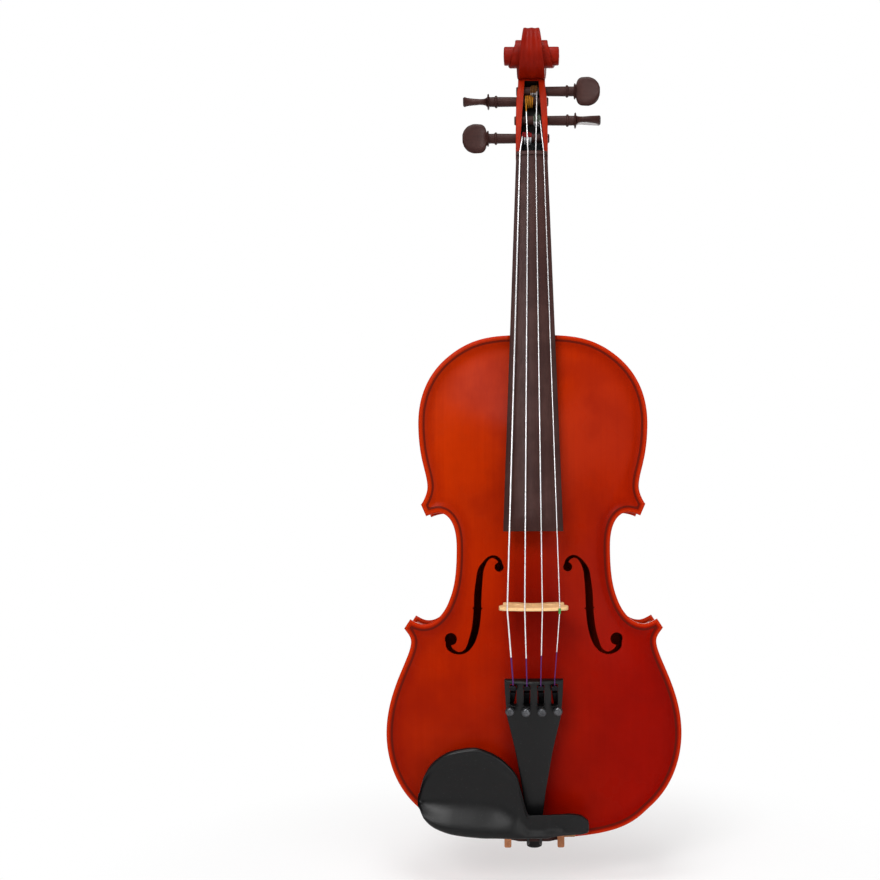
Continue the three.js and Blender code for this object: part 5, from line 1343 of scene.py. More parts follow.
VOLUTE_START = -0.32
VOLUTE_EYE = 2.0
VOLUTE_RADIUS_SHARES = [
    (-0.32, 1.14), (-0.25, 1.1), (-0.125, 1.05), (0, 1), (0.25, 0.95), (0.5, 0.85), (0.75, 0.7), (1, 0.58),
    (1.25, 0.51), (1.5, 0.44), (1.75, 0.38), (2, 0.33),
]
VOLUTE_WIDTH_SHARES = [
    (-0.32, 0.485), (-0.25, 0.465), (-0.125, 0.37), (0, 0.28), (0.125, 0.31), (0.25, 0.38), (0.5, 0.5),
    (0.75, 0.56), (1, 0.59), (1.125, 0.59), (1.25, 0.66), (1.5, 0.79), (1.75, 0.905), (2, 1),
]
VOLUTE_STEPS = 150


def volute_section(neck, turn):
    """Half a section of the scroll from the rim's middle to the eye: (place across, radius)."""
    rows = []
    edge = neck.carving_edge
    foot = 0
    turns = [min(turn + k, VOLUTE_EYE) for k in range(4)]
    radii = [neck.volute_radius * fair_value(VOLUTE_RADIUS_SHARES, t) for t in turns]
    halves = [neck.volute_width / 2 * fair_value(VOLUTE_WIDTH_SHARES, t) for t in turns]
    radius = radii[0]
    for level in range(4):
        half = halves[level]
        bevel = min(edge, max(half - foot, 0) * 0.5)
        if level == 0:
            fade = float(smooth_step(0.62, 0.45, turn)) * lerp(
                0.2, 1, float(smooth_step(0.03, 0.2, abs(turn)))
            )
            band = fluted(half, bevel, neck.flute_depth * fade)[::-1]
            rows += [(x, radius - sunk) for x, sunk in band]
        else:
            rows += [(lerp(foot, half - bevel, 0.5), radius), (half - bevel, radius)]
        rows += [(half - bevel * 0.3, radius - bevel * 0.3), (half, radius - bevel)]
        outer = radius - bevel
        if level == 3:
            rows += [
                (half + 0.35 * math.sin(math.pi / 2 * s), outer * (1 - s))
                for s in (0.3, 0.6, 0.85, 1.0)
            ]
            break
        radius = min(radii[level + 1], outer)
        room = outer - radius
        dip = min(1.7, 0.2 * room)
        for s in (0.12, 0.3, 0.5, 0.7, 0.88, 1.0):
            rows.append((half - dip * math.sin(math.pi / 2 * s) ** 0.8, lerp(outer, radius, s)))
        foot = half - dip
    return rows


def volute(neck):
    rings = []
    for j in range(VOLUTE_STEPS + 1):
        turn = VOLUTE_START + j / VOLUTE_STEPS
        half = volute_section(neck, turn)
        row = [*[(-x, r) for x, r in half[::-1]], *half[1:]]
        angle = TURN * turn
        rings.append(
            [(x, neck.eye_depth - r * math.sin(angle), neck.eye_rise + r * math.cos(angle)) for x, r in row]
        )
    rings = np.array(rings)
    count = rings.shape[1]
    faces = []
    for j in range(len(rings) - 1):
        for k in range(count - 1):
            a = j * count + k
            faces.append((a, a + 1, a + 1 + count, a + count))
    return rings.reshape(-1, 3), faces


PEGS = [
    SimpleNamespace(name="c", side=-1, along=0.181, depth=0.37, turn=0.0),
    SimpleNamespace(name="a", side=1, along=0.328, depth=0.46, turn=math.pi * 0.585),
    SimpleNamespace(name="g", side=-1, along=0.485, depth=0.55, turn=math.pi * 0.627),
    SimpleNamespace(name="d", side=1, along=0.573, depth=0.608, turn=0.0),
]


def peg_centre(neck, peg):
    return neck.head_depth * peg.depth, neck.neck_from + neck.neck_length + neck.head_length * peg.along


def build_neck():
    body, neck, _, _ = sizes()
    finish = palette()
    heel_end = body.body_length + body.button_length
    nut_at = body.body_length + neck.neck_length
    stations = [
        body.body_length - neck.mortise, body.body_length, lerp(body.body_length, heel_end, 0.5),
        heel_end
    ]
    stations += [heel_end + neck.heel_sweep * (k / 18) ** 1.5 for k in range(1, 19)]
    stations += list(np.linspace(heel_end + neck.heel_sweep, nut_at, 14)[1:])
    shaft = loft([neck_ring(body, neck, z) for z in stations])
    low, high = CAVITY_SHARES
    solid_low = [
        (-0.03, False), (-0.024, False), (-0.018, False), (-0.01, False), (0, False), (0.015, False),
        (0.03, False)
    ]
    hollow = [(share, True) for share in np.linspace(low + 0.0002, high - 0.0002, 34)]
    solid_high = [(share, False) for share in np.linspace(high, 0.762, 9)]
    shares = [*solid_low, (low, False), *hollow, *solid_high]
    skin = loft([pegbox_ring(neck, s, h) for s, h in shares])
    box_mesh = made_mesh("pegbox", *skin, [finish.neck, finish.cavity], crease=NECK_SHARP_FROM)
    for face in box_mesh.polygons:
        x, y, z = np.array(face.center) * MILLIMETRES + LAYOUT_ORIGIN
        share = (z - nut_at) / neck.head_length
        floor = neck.head_depth * fair_value(PEGBOX_BACK_SHARES, share) - neck.pegbox_floor
        inside = abs(x) < cavity_half(neck, share) + 0.05 and y < floor + 0.3
        face.material_index = int(low - 0.001 < share < high + 0.001 and inside)
    bores = []
    for peg in PEGS:
        y, z = peg_centre(neck, peg)
        radius = neck.peg_shaft / 2 + FIT
        reach = neck.pegbox_width
        bores.append(
            turned([(radius, -reach), (radius, reach)], lambda u, v, a, y=y, z=z: (a, y + u, z + v), 28)
        )
    pegbox = cut_away(box_mesh, bores)
    tidy_mesh(pegbox, NECK_SHARP_FROM, join=0)
    parts = [
        made_mesh("neck_shaft", *shaft, [finish.neck], crease=NECK_SHARP_FROM),
        pegbox,
        made_mesh("volute", *volute(neck), [finish.neck], crease=NECK_SHARP_FROM, join=0.02),
    ]
    mesh = joined("neck_and_scroll", parts)
    placed("neck_and_scroll", mesh, "viola", ["neck"], "neck_wood")


def cavity_half(neck, share):
    t = (share - CAVITY_SHARES[0]) / (CAVITY_SHARES[1] - CAVITY_SHARES[0])
    return lerp(neck.cavity_at_nut, neck.cavity_at_throat, t) / 2


def joined(name, meshes):
    """Several finished meshes as one, with the materials of the list that has most."""
    meshes = sorted(meshes, key=lambda mesh: -len(mesh.materials))
    work = bmesh.new()
    for mesh in meshes:
        work.from_mesh(mesh)
    result = bpy.data.meshes.new(name)
    work.to_mesh(result)
    work.free()
    for material in meshes[0].materials:
        result.materials.append(material)
    for mesh in meshes:
        bpy.data.meshes.remove(mesh)
    return result


def crown(neck, x, half):
    """Rise of a crowned surface over its sides."""
    return math.sqrt(neck.crown_radius**2 - x**2) - math.sqrt(neck.crown_radius**2 - half**2)


def board_ring(neck, z, extra):
    half, count, rounding = board_width(neck, z) / 2, 28, 0.5
    face = neck_face(neck, z) - FIT
    arc = np.linspace(half, -half, count + 1)
    top = [(x, face - neck.board_edge - extra - crown(neck, x, half)) for x in arc]
    corner = eased([(half, face), (half, top[0][1]), top[1]], rounding, 3)
    side = [tuple(p) for p in corner[1:-1]]
    other = [(-x, y) for x, y in side[::-1]]
    return [(x, y, z) for x, y in [(-half, face), (half, face), *side, *top[1:-1], *other]]


def build_fingerboard():
    body, neck, fittings, _ = sizes()
    finish = palette()
    nut_at = body.body_length + neck.neck_length
    end = nut_at - neck.board_length
    rows = [(end, -0.5), (end + 0.15, -0.22), (end + 0.5, 0)]
    rows += [(z, 0) for z in np.linspace(end + 12, nut_at - FIT, 12)]
    piece(
        "fingerboard_crowned", loft([board_ring(neck, z, e) for z, e in rows]), finish.dark_along,
        "fingerboard", "stained_hardwood", crease=TURNED_SHARP_FROM
    )
    proud, thick = neck.nut_height, neck.nut_thickness
    rows = [
        (0, proud), (0.25, proud), (0.5, proud), (0.62, proud * 0.6), (0.75, -0.1), (0.88, -0.8),
        (1, -2 * proud)
    ]
    piece(
        "nut_rounded", loft([board_ring(neck, nut_at + s * thick, e) for s, e in rows]),
        finish.dark_across, "nut", "stained_hardwood", crease=TURNED_SHARP_FROM
    )

    half, reach = fittings.saddle_width / 2, fittings.saddle_height
    edge = body.edge_thickness + FIT
    rings = []
    for x in np.linspace(-half, half, 25):
        rise = float(smooth_step(half, half * 0.6, abs(x)))
        tall = lerp(edge, reach, rise)
        profile = eased(
            [(-1.2, FIT / 2), (-1.2, tall), (1.8, tall), (5.5, edge - FIT), (5.5, FIT / 2)], 0.8, 3,
            closed=True
        )
        rings.append([(x, -height, z) for z, height in profile])
    piece(
        "saddle_rounded", loft(rings), finish.dark_across, "saddle", "stained_hardwood",
        crease=TURNED_SHARP_FROM
    )


# Bridge: half of its outline in shares of half its width and of its height
BRIDGE_SIDE_SHARES = [
    (0.89, 0.055), (0.84, 0.1), (0.72, 0.2), (0.64, 0.34), (0.74, 0.42), (0.88, 0.48), (0.975, 0.58),
    (0.985, 0.64),
    (0.97, 0.72), (0.95, 0.78),
]
KIDNEY_SHARES = [(0.34, 0.42), (0.52, 0.4), (0.62, 0.47), (0.6, 0.56), (0.46, 0.56), (0.34, 0.5)]
HEART_SHARES = [(0, 0.4), (0.12, 0.52), (0.11, 0.58), (0.04, 0.59)]
BRIDGE_ARCH_SHARES = [(0.38, 0.02), (0.3, 0.14), (0.12, 0.22)]


def bridge_base(body):
    """Height of the top plate under the middle of the bridge."""
    spot = np.array([[0.0, body.bridge_at]])
    gap = np.array([body.channel_distance * 3])
    return float(plate_heights(body, body.top_arch, spot, gap, gap)[0][0])


def bridge_top(body, neck, fittings, x):
    return bridge_base(body) + fittings.bridge_height - neck.crown_radius + math.sqrt(
        neck.crown_radius**2 - x**2
    )


def build_bridge():
    body, neck, fittings, _ = sizes()
    finish = palette()
    base = bridge_base(body)
    half = fittings.bridge_width / 2

    def spots(shares):
        return np.array([(a * half, base + FIT + b * fittings.bridge_height) for a, b in shares])

    side = spline(spots(BRIDGE_SIDE_SHARES), 4)
    arch = spots(BRIDGE_ARCH_SHARES)
    feet = []
    for a in np.linspace(0.42, 0.89, 13):
        plan = np.array([[a * half, fittings.bridge_place]])
        far = np.array([body.lower_width])
        feet.append((a * half, float(plate_heights(body, body.top_arch, plan, far, far)[0][0]) + FIT))
    crest = [(x, bridge_top(body, neck, fittings, x)) for x in np.linspace(side[-1][0], 0, 16)]
    inner_arch = spline([feet[0], *arch, (0, arch[-1][1] + 0.5)], 4)[::-1]
    right = np.array([*inner_arch, *feet[1:], *side, *crest[1:]])
    outline = np.concatenate([right, mirrored(right)[1:-1]])
    kidney = spline(spots(KIDNEY_SHARES), 4, closed=True)
    heart_half = spline(spots(HEART_SHARES), 4)
    heart = np.concatenate([heart_half, mirrored(heart_half)[1:-1]])
    holes = [kidney, mirrored(kidney), heart]
    reach = 0.45
    low, high = outline.min(0), outline.max(0)
    inside = lattice(low, high, 2.0)
    for loop in (outline, *holes):
        inside = inside[edge_gap(loop, inside) > 1.1]
    rows = [moved_in(outline, reach * s, outline) for s in (0.3, 1, 1.8)]
    for loop in holes:
        for s in (0.3, 1, 1.8):
            row = moved_in(loop[::-1] if area(loop) > 0 else loop, reach * s, loop)
            rows.append(row[~within(loop, row)])
    loose = np.concatenate([inside, *rows])
    loose = loose[within(outline, loose)]
    plan, triangles = triangulated([outline, *holes], loose, between(outline, holes))
    gap = np.minimum.reduce([edge_gap(loop, plan) for loop in (outline, *holes)])
    up = (plan[:, 1] - base) / fittings.bridge_height
    taper = (fittings.bridge_thickness - fittings.bridge_top) * np.clip((up - 0.25) / 0.8, 0, 1)
    thick = fittings.bridge_thickness / 2 - edge_drop(reach, gap)
    corners, faces, _ = slab(plan, triangles, thick - taper, -thick)
    turned_up = np.column_stack([corners[:, 0], -corners[:, 2], fittings.bridge_place + corners[:, 1]])
    piece(
        "bridge_carved", (turned_up, faces), finish.bridge, "bridge", "bare_maple",
        crease=PLATE_SHARP_FROM, join=0
    )


def area(loop):
    ahead = np.roll(loop, -1, 0)
    return float((loop[:, 0] * ahead[:, 1] - ahead[:, 0] * loop[:, 1]).sum() / 2)


# Pegs: places along the thumb piece, and its two half sizes
PEG_HEAD_SHARES = [
    (0, 0.4, 1), (0.08, 0.8, 0.82), (0.25, 0.98, 0.74), (0.5, 1, 0.84), (0.76, 0.86, 0.96),
    (0.93, 0.56, 1), (1, 0.28, 0.8),
]


def peg_rings(neck, peg):
    segments = 32
    shaft, collar = neck.peg_shaft / 2, neck.peg_collar / 2
    ring = neck.peg_ring / 2
    end = neck.peg_reach - neck.peg_head_length
    ring_end = end - collar
    pegbox = neck.pegbox_width / 2 * fair_value(PEGBOX_WIDTH_SHARES, peg.along)
    start = -(pegbox + 1.4)
    tip = 3.4
    rows = [(start, 0.01), (start, tip * 0.8), (start + 0.35, tip * 0.96), (start + 0.9, tip)]
    rows += [
        (x, lerp(tip, shaft, (x - start) / (ring_end - 3.2 - start)))
        for x in np.linspace(start + 2, ring_end - 3.2, 16)
    ]
    rows += [(ring_end - 2.1, shaft)]
    rows += [
        (ring_end - 1 - 1.0 * math.cos(math.pi * s), lerp(shaft, ring, math.sin(math.pi * s) ** 0.6))
        for s in (0.1, 0.25, 0.5, 0.75, 0.9)
    ]
    rows += [(ring_end + 0.3, shaft), (end - 2.4, shaft * 0.97), (end - 1.7, shaft)]
    rows += [
        (end - 0.85 - 0.8 * math.cos(math.pi * s), lerp(shaft, collar, math.sin(math.pi * s) ** 0.5))
        for s in (0.06, 0.2, 0.5, 0.8)
    ]
    head = []
    for s in [*np.linspace(0, 0.9, 20), *np.linspace(0.92, 1, 6)]:
        wide, thick = fair(PEG_HEAD_SHARES, s)[0]
        head.append(
            (
                end + s * neck.peg_head_length, wide * neck.peg_head_width / 2,
                thick * neck.peg_head_thickness / 2
            )
        )
    for s in (0.5, 0.8, 1.0):
        x, wide, thick = head[-1]
        head.append((x + 0.001, wide * math.sqrt(1 - s * s) + 0.001, thick * math.sqrt(1 - s * s) + 0.001))
    angles = [TURN * k / segments for k in range(segments)]
    made = [[(x, r * math.sin(a), r * math.cos(a)) for a in angles] for x, r in rows]
    for x, wide, thick in head:
        ring_points = []
        for angle in angles:
            c, s = math.cos(angle), math.sin(angle)
            out = math.copysign(abs(c) ** 0.8, c)
            hollow = 0.3 * max(0, 1 - (out / 0.8) ** 2) * min(
                1, max(0, wide / (neck.peg_head_width / 2) - 0.5) * 2
            )
            ring_points.append((x, thick * math.copysign(abs(s) ** 0.8, s) * (1 - hollow), wide * out))
        made.append(ring_points)
    return made


def build_pegs():
    body, neck, _, _ = sizes()
    finish = palette()
    for peg in PEGS:
        y, z = peg_centre(neck, peg)
        c, s = math.cos(peg.turn), math.sin(peg.turn)
        rings = [
            [(peg.side * px, y + py * c - pz * s, z + py * s + pz * c) for px, py, pz in ring]
            for ring in peg_rings(neck, peg)
        ]
        name = f"{peg.name}_peg"
        piece(
            name + "_turned", loft(rings), finish.dark_across, name, "stained_hardwood", body=name,
            crease=PEG_SHARP_FROM
        )


# Tailpiece: half widths and edge thickness against its length
TAIL_HALF_SHARES = [
    (0, 1), (0.1, 0.98), (0.24, 0.93), (0.4, 0.735), (0.49, 0.632), (0.62, 0.52), (0.74, 0.413),
    (0.88, 0.325), (1, 0.25),
]
TAIL_EDGE_SHARES = [(0, 1), (0.3, 1), (1, 0.8)]
TAIL_SLOT_FROM = 3.0
TAIL_PLACE = (0.0, -35.452, 129.666)
TAIL_TILT = 0.198373
TUNER_PIVOT = 7.5
TUNER_PIVOT_HEIGHT = 2.2
TUNER_SCREW = 22.6
TUNER_TRAVEL = 3.0
KNURL_COUNT = 24
KNURL_WIDTH = 0.42
STRING_SHARES = (-1, -1 / 3, 1 / 3, 1)


def tail_half(fittings, distance):
    return fittings.tail_width / 2 * float(
        np.interp(distance / fittings.tail_length, *zip(*TAIL_HALF_SHARES))
    )


def tail_face(fittings, x, distance):
    """Height of the tailpiece's face over its flat underside."""
    half = tail_half(fittings, distance)
    across = min(abs(x), half)
    edge = fittings.tail_edge * float(np.interp(distance / fittings.tail_length, *zip(*TAIL_EDGE_SHARES)))
    radius = fittings.tail_crown
    return edge + math.sqrt(radius**2 - across**2) - math.sqrt(radius**2 - half**2)


def from_tailpiece(x, height, distance):
    """A point of the tailpiece's own frame in the layout."""
    c, s = math.cos(TAIL_TILT), math.sin(TAIL_TILT)
    y, z = -height, -distance
    return (x + TAIL_PLACE[0], y * c - z * s + TAIL_PLACE[1], y * s + z * c + TAIL_PLACE[2])


def build_tailpiece():
    _, _, fittings, strings = sizes()
    finish = palette()
    long = fittings.tail_length
    at = np.concatenate([np.linspace(0, 0.06, 8), np.linspace(0.08, 0.94, 50), np.linspace(0.95, 1, 6)])
    halves = np.interp(at, *zip(*TAIL_HALF_SHARES)) * fittings.tail_width / 2
    right = np.column_stack([halves, -at * long])
    right = np.concatenate([[(0, 0)], right, [(0, -long)]])
    right = eased(right, 0.6, 3)
    outline = np.concatenate([right[::-1], mirrored(right[::-1])[1:-1]])
    if area(outline) < 0:
        outline = outline[::-1]
    slots, tuner = [], []
    for share in STRING_SHARES:
        x = share * strings.slot_span / 2
        w = fittings.slot_width / 2
        low = -(TAIL_SLOT_FROM + fittings.slot_length)
        box = [(x - w, low), (x + w, low), (x + w, -TAIL_SLOT_FROM), (x - w, -TAIL_SLOT_FROM)]
        slots.append(eased(box, 1.1, 4, closed=True))
        tuner.append(ring_of((share * strings.screw_span / 2, -TUNER_SCREW), 1.2 + FIT, 20))
    holes = [*slots, *tuner]
    reach = 0.7
    inside = lattice(outline.min(0), outline.max(0), 2.4)
    for loop in (outline, *holes):
        inside = inside[edge_gap(loop, inside) > 1.2]
    rows = [moved_in(outline, reach * s, outline) for s in (0.12, 0.4, 1, 1.8)]
    for loop in slots:
        for s in (0.12, 0.4, 0.8):
            row = loop + (loop - loop.mean(0)) / np.linalg.norm(
                loop - loop.mean(0), axis=1
            )[:, None] * reach * s
            rows.append(row[~within(loop, row)])
    fret = []
    for distance in (1.2, 1.5, 2.0, 2.5, 2.8):
        half = tail_half(fittings, distance) - reach
        fret.append(np.column_stack([np.linspace(-half, half, 40), np.full(40, -distance)]))
    loose = np.concatenate([inside, *rows, *fret])
    loose = loose[within(outline, loose)]
    plan, triangles = triangulated([outline, *holes], loose, between(outline, holes))
    gap = edge_gap(outline, plan)
    slot_gap = np.minimum.reduce([edge_gap(loop, plan) for loop in slots])
    face = np.array([tail_face(fittings, x, -d) for x, d in plan])
    face = face - edge_drop(reach, gap) - edge_drop(reach * 0.5, slot_gap)
    ridge = smooth_step(0.9, 0.3, np.abs(-plan[:, 1] - 2.0)) * smooth_step(0.3, 1.5, gap)
    face = face + fittings.tail_fret * ridge
    under = edge_drop(0.5, gap)
    corners, faces, _ = slab(plan, triangles, face, under)
    points = [from_tailpiece(x, height, -d) for x, height, d in corners]
    piece(
        "tailpiece_shaped", (points, faces), finish.composite, "tailpiece", "black_composite",
        crease=PLATE_SHARP_FROM, join=0
    )


def ridge_tree():
    """Geometry nodes that set small ridges round a turned head and join them to it."""
    tree, nodes = geometry_tree("Ridges round a head", [
        ("Count", "NodeSocketInt", 22), ("Radius", "NodeSocketFloat", 0.0034),
        ("Height", "NodeSocketFloat", 0.002),
        ("Lift", "NodeSocketFloat", 0.0), ("Width", "NodeSocketFloat", 0.0005),
        ("Material", "NodeSocketMaterial", None),
    ])
    given = nodes.add("NodeGroupInput").outputs
    out = nodes.add("NodeGroupOutput").inputs
    circle = nodes.add("GeometryNodeMeshCircle", {"Vertices": given["Count"], "Radius": given["Radius"]})
    size = nodes.add("ShaderNodeCombineXYZ", {"X": given["Width"], "Y": given["Width"], "Z": given["Height"]})
    bar = nodes.add("GeometryNodeMeshCube", {"Size": size.outputs[0]})
    normal = nodes.add("GeometryNodeInputPosition")
    turn = nodes.add(
        "FunctionNodeAlignEulerToVector", {"Vector": normal.outputs[0]}, axis="X", pivot_axis="Z"
    )
    spread = nodes.add(
        "GeometryNodeInstanceOnPoints",
        {"Points": circle.outputs["Mesh"], "Instance": bar.outputs["Mesh"], "Rotation": turn.outputs[0]}
    )
    raise_by = nodes.add("ShaderNodeCombineXYZ", {"X": 0.0, "Y": 0.0, "Z": given["Lift"]})
    lifted = nodes.add(
        "GeometryNodeTransform", {"Geometry": spread.outputs[0], "Translation": raise_by.outputs[0]}
    )
    both = nodes.add("GeometryNodeJoinGeometry")
    nodes.tree.links.new(given["Geometry"], both.inputs[0])
    nodes.tree.links.new(lifted.outputs[0], both.inputs[0])
    dress_and_end(nodes, given, out, both)
    return tree


def screw_base(fittings, x):
    """Underside of a screw's head at rest, clear of the face by its travel."""
    nearest = max(abs(x) - fittings.screw_head / 2, 0)
    return tail_face(fittings, nearest, TUNER_SCREW - fittings.screw_head / 2) + TUNER_TRAVEL + FIT


LEVER_OUTLINE = [
    (-2.2, -1.1), (1.1, -2.2), (2.2, -5.2), (17.3, -5.2), (17.3, -3.4), (3.96, -3.4), (2.2, 0), (1.1, 2.2),
    (-0.44, 6.4), (-4.0, 6.4), (-3.9, 2.2), (-3.4, 0),
]
LEVER_HALF = 2.2
LEVER_BEND = (3.0, 16.8)


def build_tuners():
    _, _, fittings, strings = sizes()
    finish = palette()
    tree = ridge_tree()
    head, tall = fittings.screw_head / 2, fittings.screw_head_height
    for name, share in zip("cgda", STRING_SHARES):
        slot_x, x = share * strings.slot_span / 2, share * strings.screw_span / 2
        base = screw_base(fittings, x)
        profile = [
            (0.01, -0.9), (0.9, -0.9), (1.2, -0.6), (1.2, base), (head * 0.62, base),
            (head * 0.9, base + 0.2)
        ]
        profile += [
            (head, base + 0.5), (head, base + tall * 0.55), (head * 0.96, base + tall * 0.72),
            (head * 0.82, base + tall * 0.88)
        ]
        profile += [
            (head * 0.6, base + tall * 0.97), (head * 0.34, base + tall),
            (head * 0.3, base + tall * 0.94), (0.01, base + tall * 0.9)
        ]
        rough = made_mesh(
            "screw", *turned(profile, lambda u, v, a: (u, v, a), FINE_RING_SIDES), [finish.head_steel],
            in_frame=False
        )
        ridge = {
            "Count": KNURL_COUNT, "Radius": head / MILLIMETRES, "Height": tall * 0.5 / MILLIMETRES,
            "Width": KNURL_WIDTH / MILLIMETRES, "Lift": (base + tall * 0.34) / MILLIMETRES,
            "Material": finish.head_steel
        }
        mesh = grown(f"{name}_screw_knurled", rough, tree, ridge)
        for vertex in mesh.vertices:
            u, v, a = (value * MILLIMETRES for value in vertex.co)
            vertex.co = Vector(framed(from_tailpiece(x + u, a, TUNER_SCREW + v)))
        tidy_mesh(mesh, TURNED_SHARP_FROM, join=0)
        placed(f"{name}_screw_knurled", mesh, f"{name}_tuner_screw", [f"{name}_tuner_screw"], "dark_steel")

        outline = eased(LEVER_OUTLINE, 0.7, 3, closed=True)
        rings = []
        for side in (-LEVER_HALF, LEVER_HALF):
            row = []
            for d, h in outline:
                over = (x - slot_x) * float(
                    np.clip((d - LEVER_BEND[0]) / (LEVER_BEND[1] - LEVER_BEND[0]), 0, 1)
                )
                row.append(from_tailpiece(slot_x + over + side, TUNER_PIVOT_HEIGHT + h, TUNER_PIVOT + d))
            rings.append(row)
        piece(
            f"{name}_lever_bent", loft(rings), finish.dark_steel, f"{name}_tuner_lever", "dark_steel",
            body=f"{name}_tuner_lever", bevel=0.35
        )


# Strings
def sweep_tree():
    """Geometry nodes that sweep a round section along a path and keep the run of the path."""
    tree, nodes = geometry_tree("Round section along a path", [
        ("Radius", "NodeSocketFloat", 0.0005), ("Sides", "NodeSocketInt", 12),
        ("Material", "NodeSocketMaterial", None),
    ])
    given = nodes.add("NodeGroupInput").outputs
    out = nodes.add("NodeGroupOutput").inputs
    path = nodes.add("GeometryNodeMeshToCurve", {"Mesh": given["Geometry"]})
    run = nodes.add("GeometryNodeSplineParameter")
    scale = nodes.times(run.outputs["Length"], float(MILLIMETRES))
    marked = nodes.add(
        "GeometryNodeStoreNamedAttribute",
        {"Geometry": path.outputs[0], "Name": "run", "Value": scale}, domain="POINT",
        data_type="FLOAT"
    )
    section = nodes.add(
        "GeometryNodeCurvePrimitiveCircle", {"Resolution": given["Sides"], "Radius": given["Radius"]}
    )
    swept = nodes.add(
        "GeometryNodeCurveToMesh",
        {"Curve": marked.outputs[0], "Profile Curve": section.outputs[0], "Fill Caps": True}
    )
    dress_and_end(nodes, given, out, swept)
    return tree


def swept(name, path, radius, sides, material, tree):
    """A round piece along a path of the layout."""
    line = bpy.data.meshes.new(name + " path")
    points = [tuple(p) for p in framed(path)]
    line.from_pydata(points, [(i, i + 1) for i in range(len(points) - 1)], [])
    mesh = grown(name, line, tree, {"Radius": radius / MILLIMETRES, "Sides": sides, "Material": material})
    tidy_mesh(mesh, WINDING_SHARP_FROM, join=0)
    return mesh


WINDING_SHARES = {"c": -0.86, "g": -0.78, "d": 0.78, "a": 0.86}
SILK_SHARES = {"c": 0.8, "g": 0.8, "d": 0.9, "a": 1.0}
WINDING_TURNS = 4
WINDING_STEPS = 30


def string_path(body, neck, fittings, strings, name, share):
    """The path from the lever's hook over bridge and nut to the peg and round it, and its straight part."""
    peg = next(p for p in PEGS if p.name == name)
    radius = getattr(strings, f"{name}_diameter") / 2
    tail_x = share * strings.slot_span / 2
    bridge_x = share * strings.bridge_span / 2
    nut_x = share * strings.nut_span / 2
    height = tail_face(fittings, tail_x, TAIL_SLOT_FROM) + FIT + radius
    start = from_tailpiece(tail_x, height, TUNER_PIVOT - 3.3 - radius - FIT)
    lip = from_tailpiece(tail_x, height, 0)
    bridge_crest = fittings.bridge_place - (fittings.bridge_thickness - fittings.bridge_top) / 2
    over_bridge = (bridge_x, -bridge_top(body, neck, fittings, bridge_x) - FIT - radius, bridge_crest)
    nut_at = body.body_length + neck.neck_length
    nut_top = neck_face(neck, nut_at) - FIT - neck.board_edge - neck.nut_height - crown(
        neck, nut_x, neck.nut_width / 2
    )
    over_nut = (nut_x, nut_top - FIT - radius, nut_at + neck.nut_thickness / 2)
    winding = WINDING_SHARES[name]
    winding_x = winding * cavity_half(neck, peg.along) - math.copysign(radius, winding)
    loop = neck.peg_shaft / 2 + FIT * 0.5 + radius
    y, z = peg_centre(neck, peg)
    to_nut = (over_nut[1] - y, over_nut[2] - z)
    away = math.hypot(*to_nut)
    direction = math.atan2(to_nut[1], to_nut[0]) - math.acos(loop / away)
    pitch = -math.copysign(2 * radius + strings.winding_gap, winding)
    straight = eased([start, lip, over_bridge, over_nut], 2.5, 6)
    turns = []
    for i in range(WINDING_TURNS * WINDING_STEPS + 1):
        angle = direction - TURN * i / WINDING_STEPS
        turns.append(
            (winding_x + pitch * i / WINDING_STEPS, y + loop * math.cos(angle), z + loop * math.sin(angle))
        )
    return straight, np.array(turns), radius


def build_strings():
    body, neck, fittings, strings = sizes()
    finish = palette()
    tree = sweep_tree()
    for name, share in zip("cgda", STRING_SHARES):
        straight, turns, radius = string_path(body, neck, fittings, strings, name, share)
        extra = 16 if name == "g" else 5
        last = turns[0] + (straight[-1] - turns[0]) * min(1, extra / np.linalg.norm(straight[-1] - turns[0]))
        rise = straight[8] - straight[7]
        silk_from = straight[7] + rise * strings.silk * SILK_SHARES[name] / np.linalg.norm(rise)
        path = np.concatenate([straight[:8], [silk_from], straight[8:], [last], turns])
        mesh = swept(f"{name}_string_wound", path, radius, 12, finish.winding, tree)
        mesh.materials.append(finish.tail_silk)
        mesh.materials.append(finish.peg_silk[name])
        silk_z = framed([silk_from])[0][2]
        last_z = framed([last])[0][2]
        for face in mesh.polygons:
            z = face.center.z
            face.material_index = 1 if z < silk_z else 2 if z > last_z - 1e-5 else 0
        placed(f"{name}_string_wound", mesh, "viola", [f"{name}_string"], "steel")
        if name == "a":
            at = straight[12]
            down = straight[8] - at
            down /= np.linalg.norm(down)
            path = [at + down * strings.sleeve * k / 8 for k in range(9)]
            mesh = swept("string_sleeve", path, radius + 0.55, 16, finish.sleeve, tree)
            placed("string_sleeve", mesh, "viola")


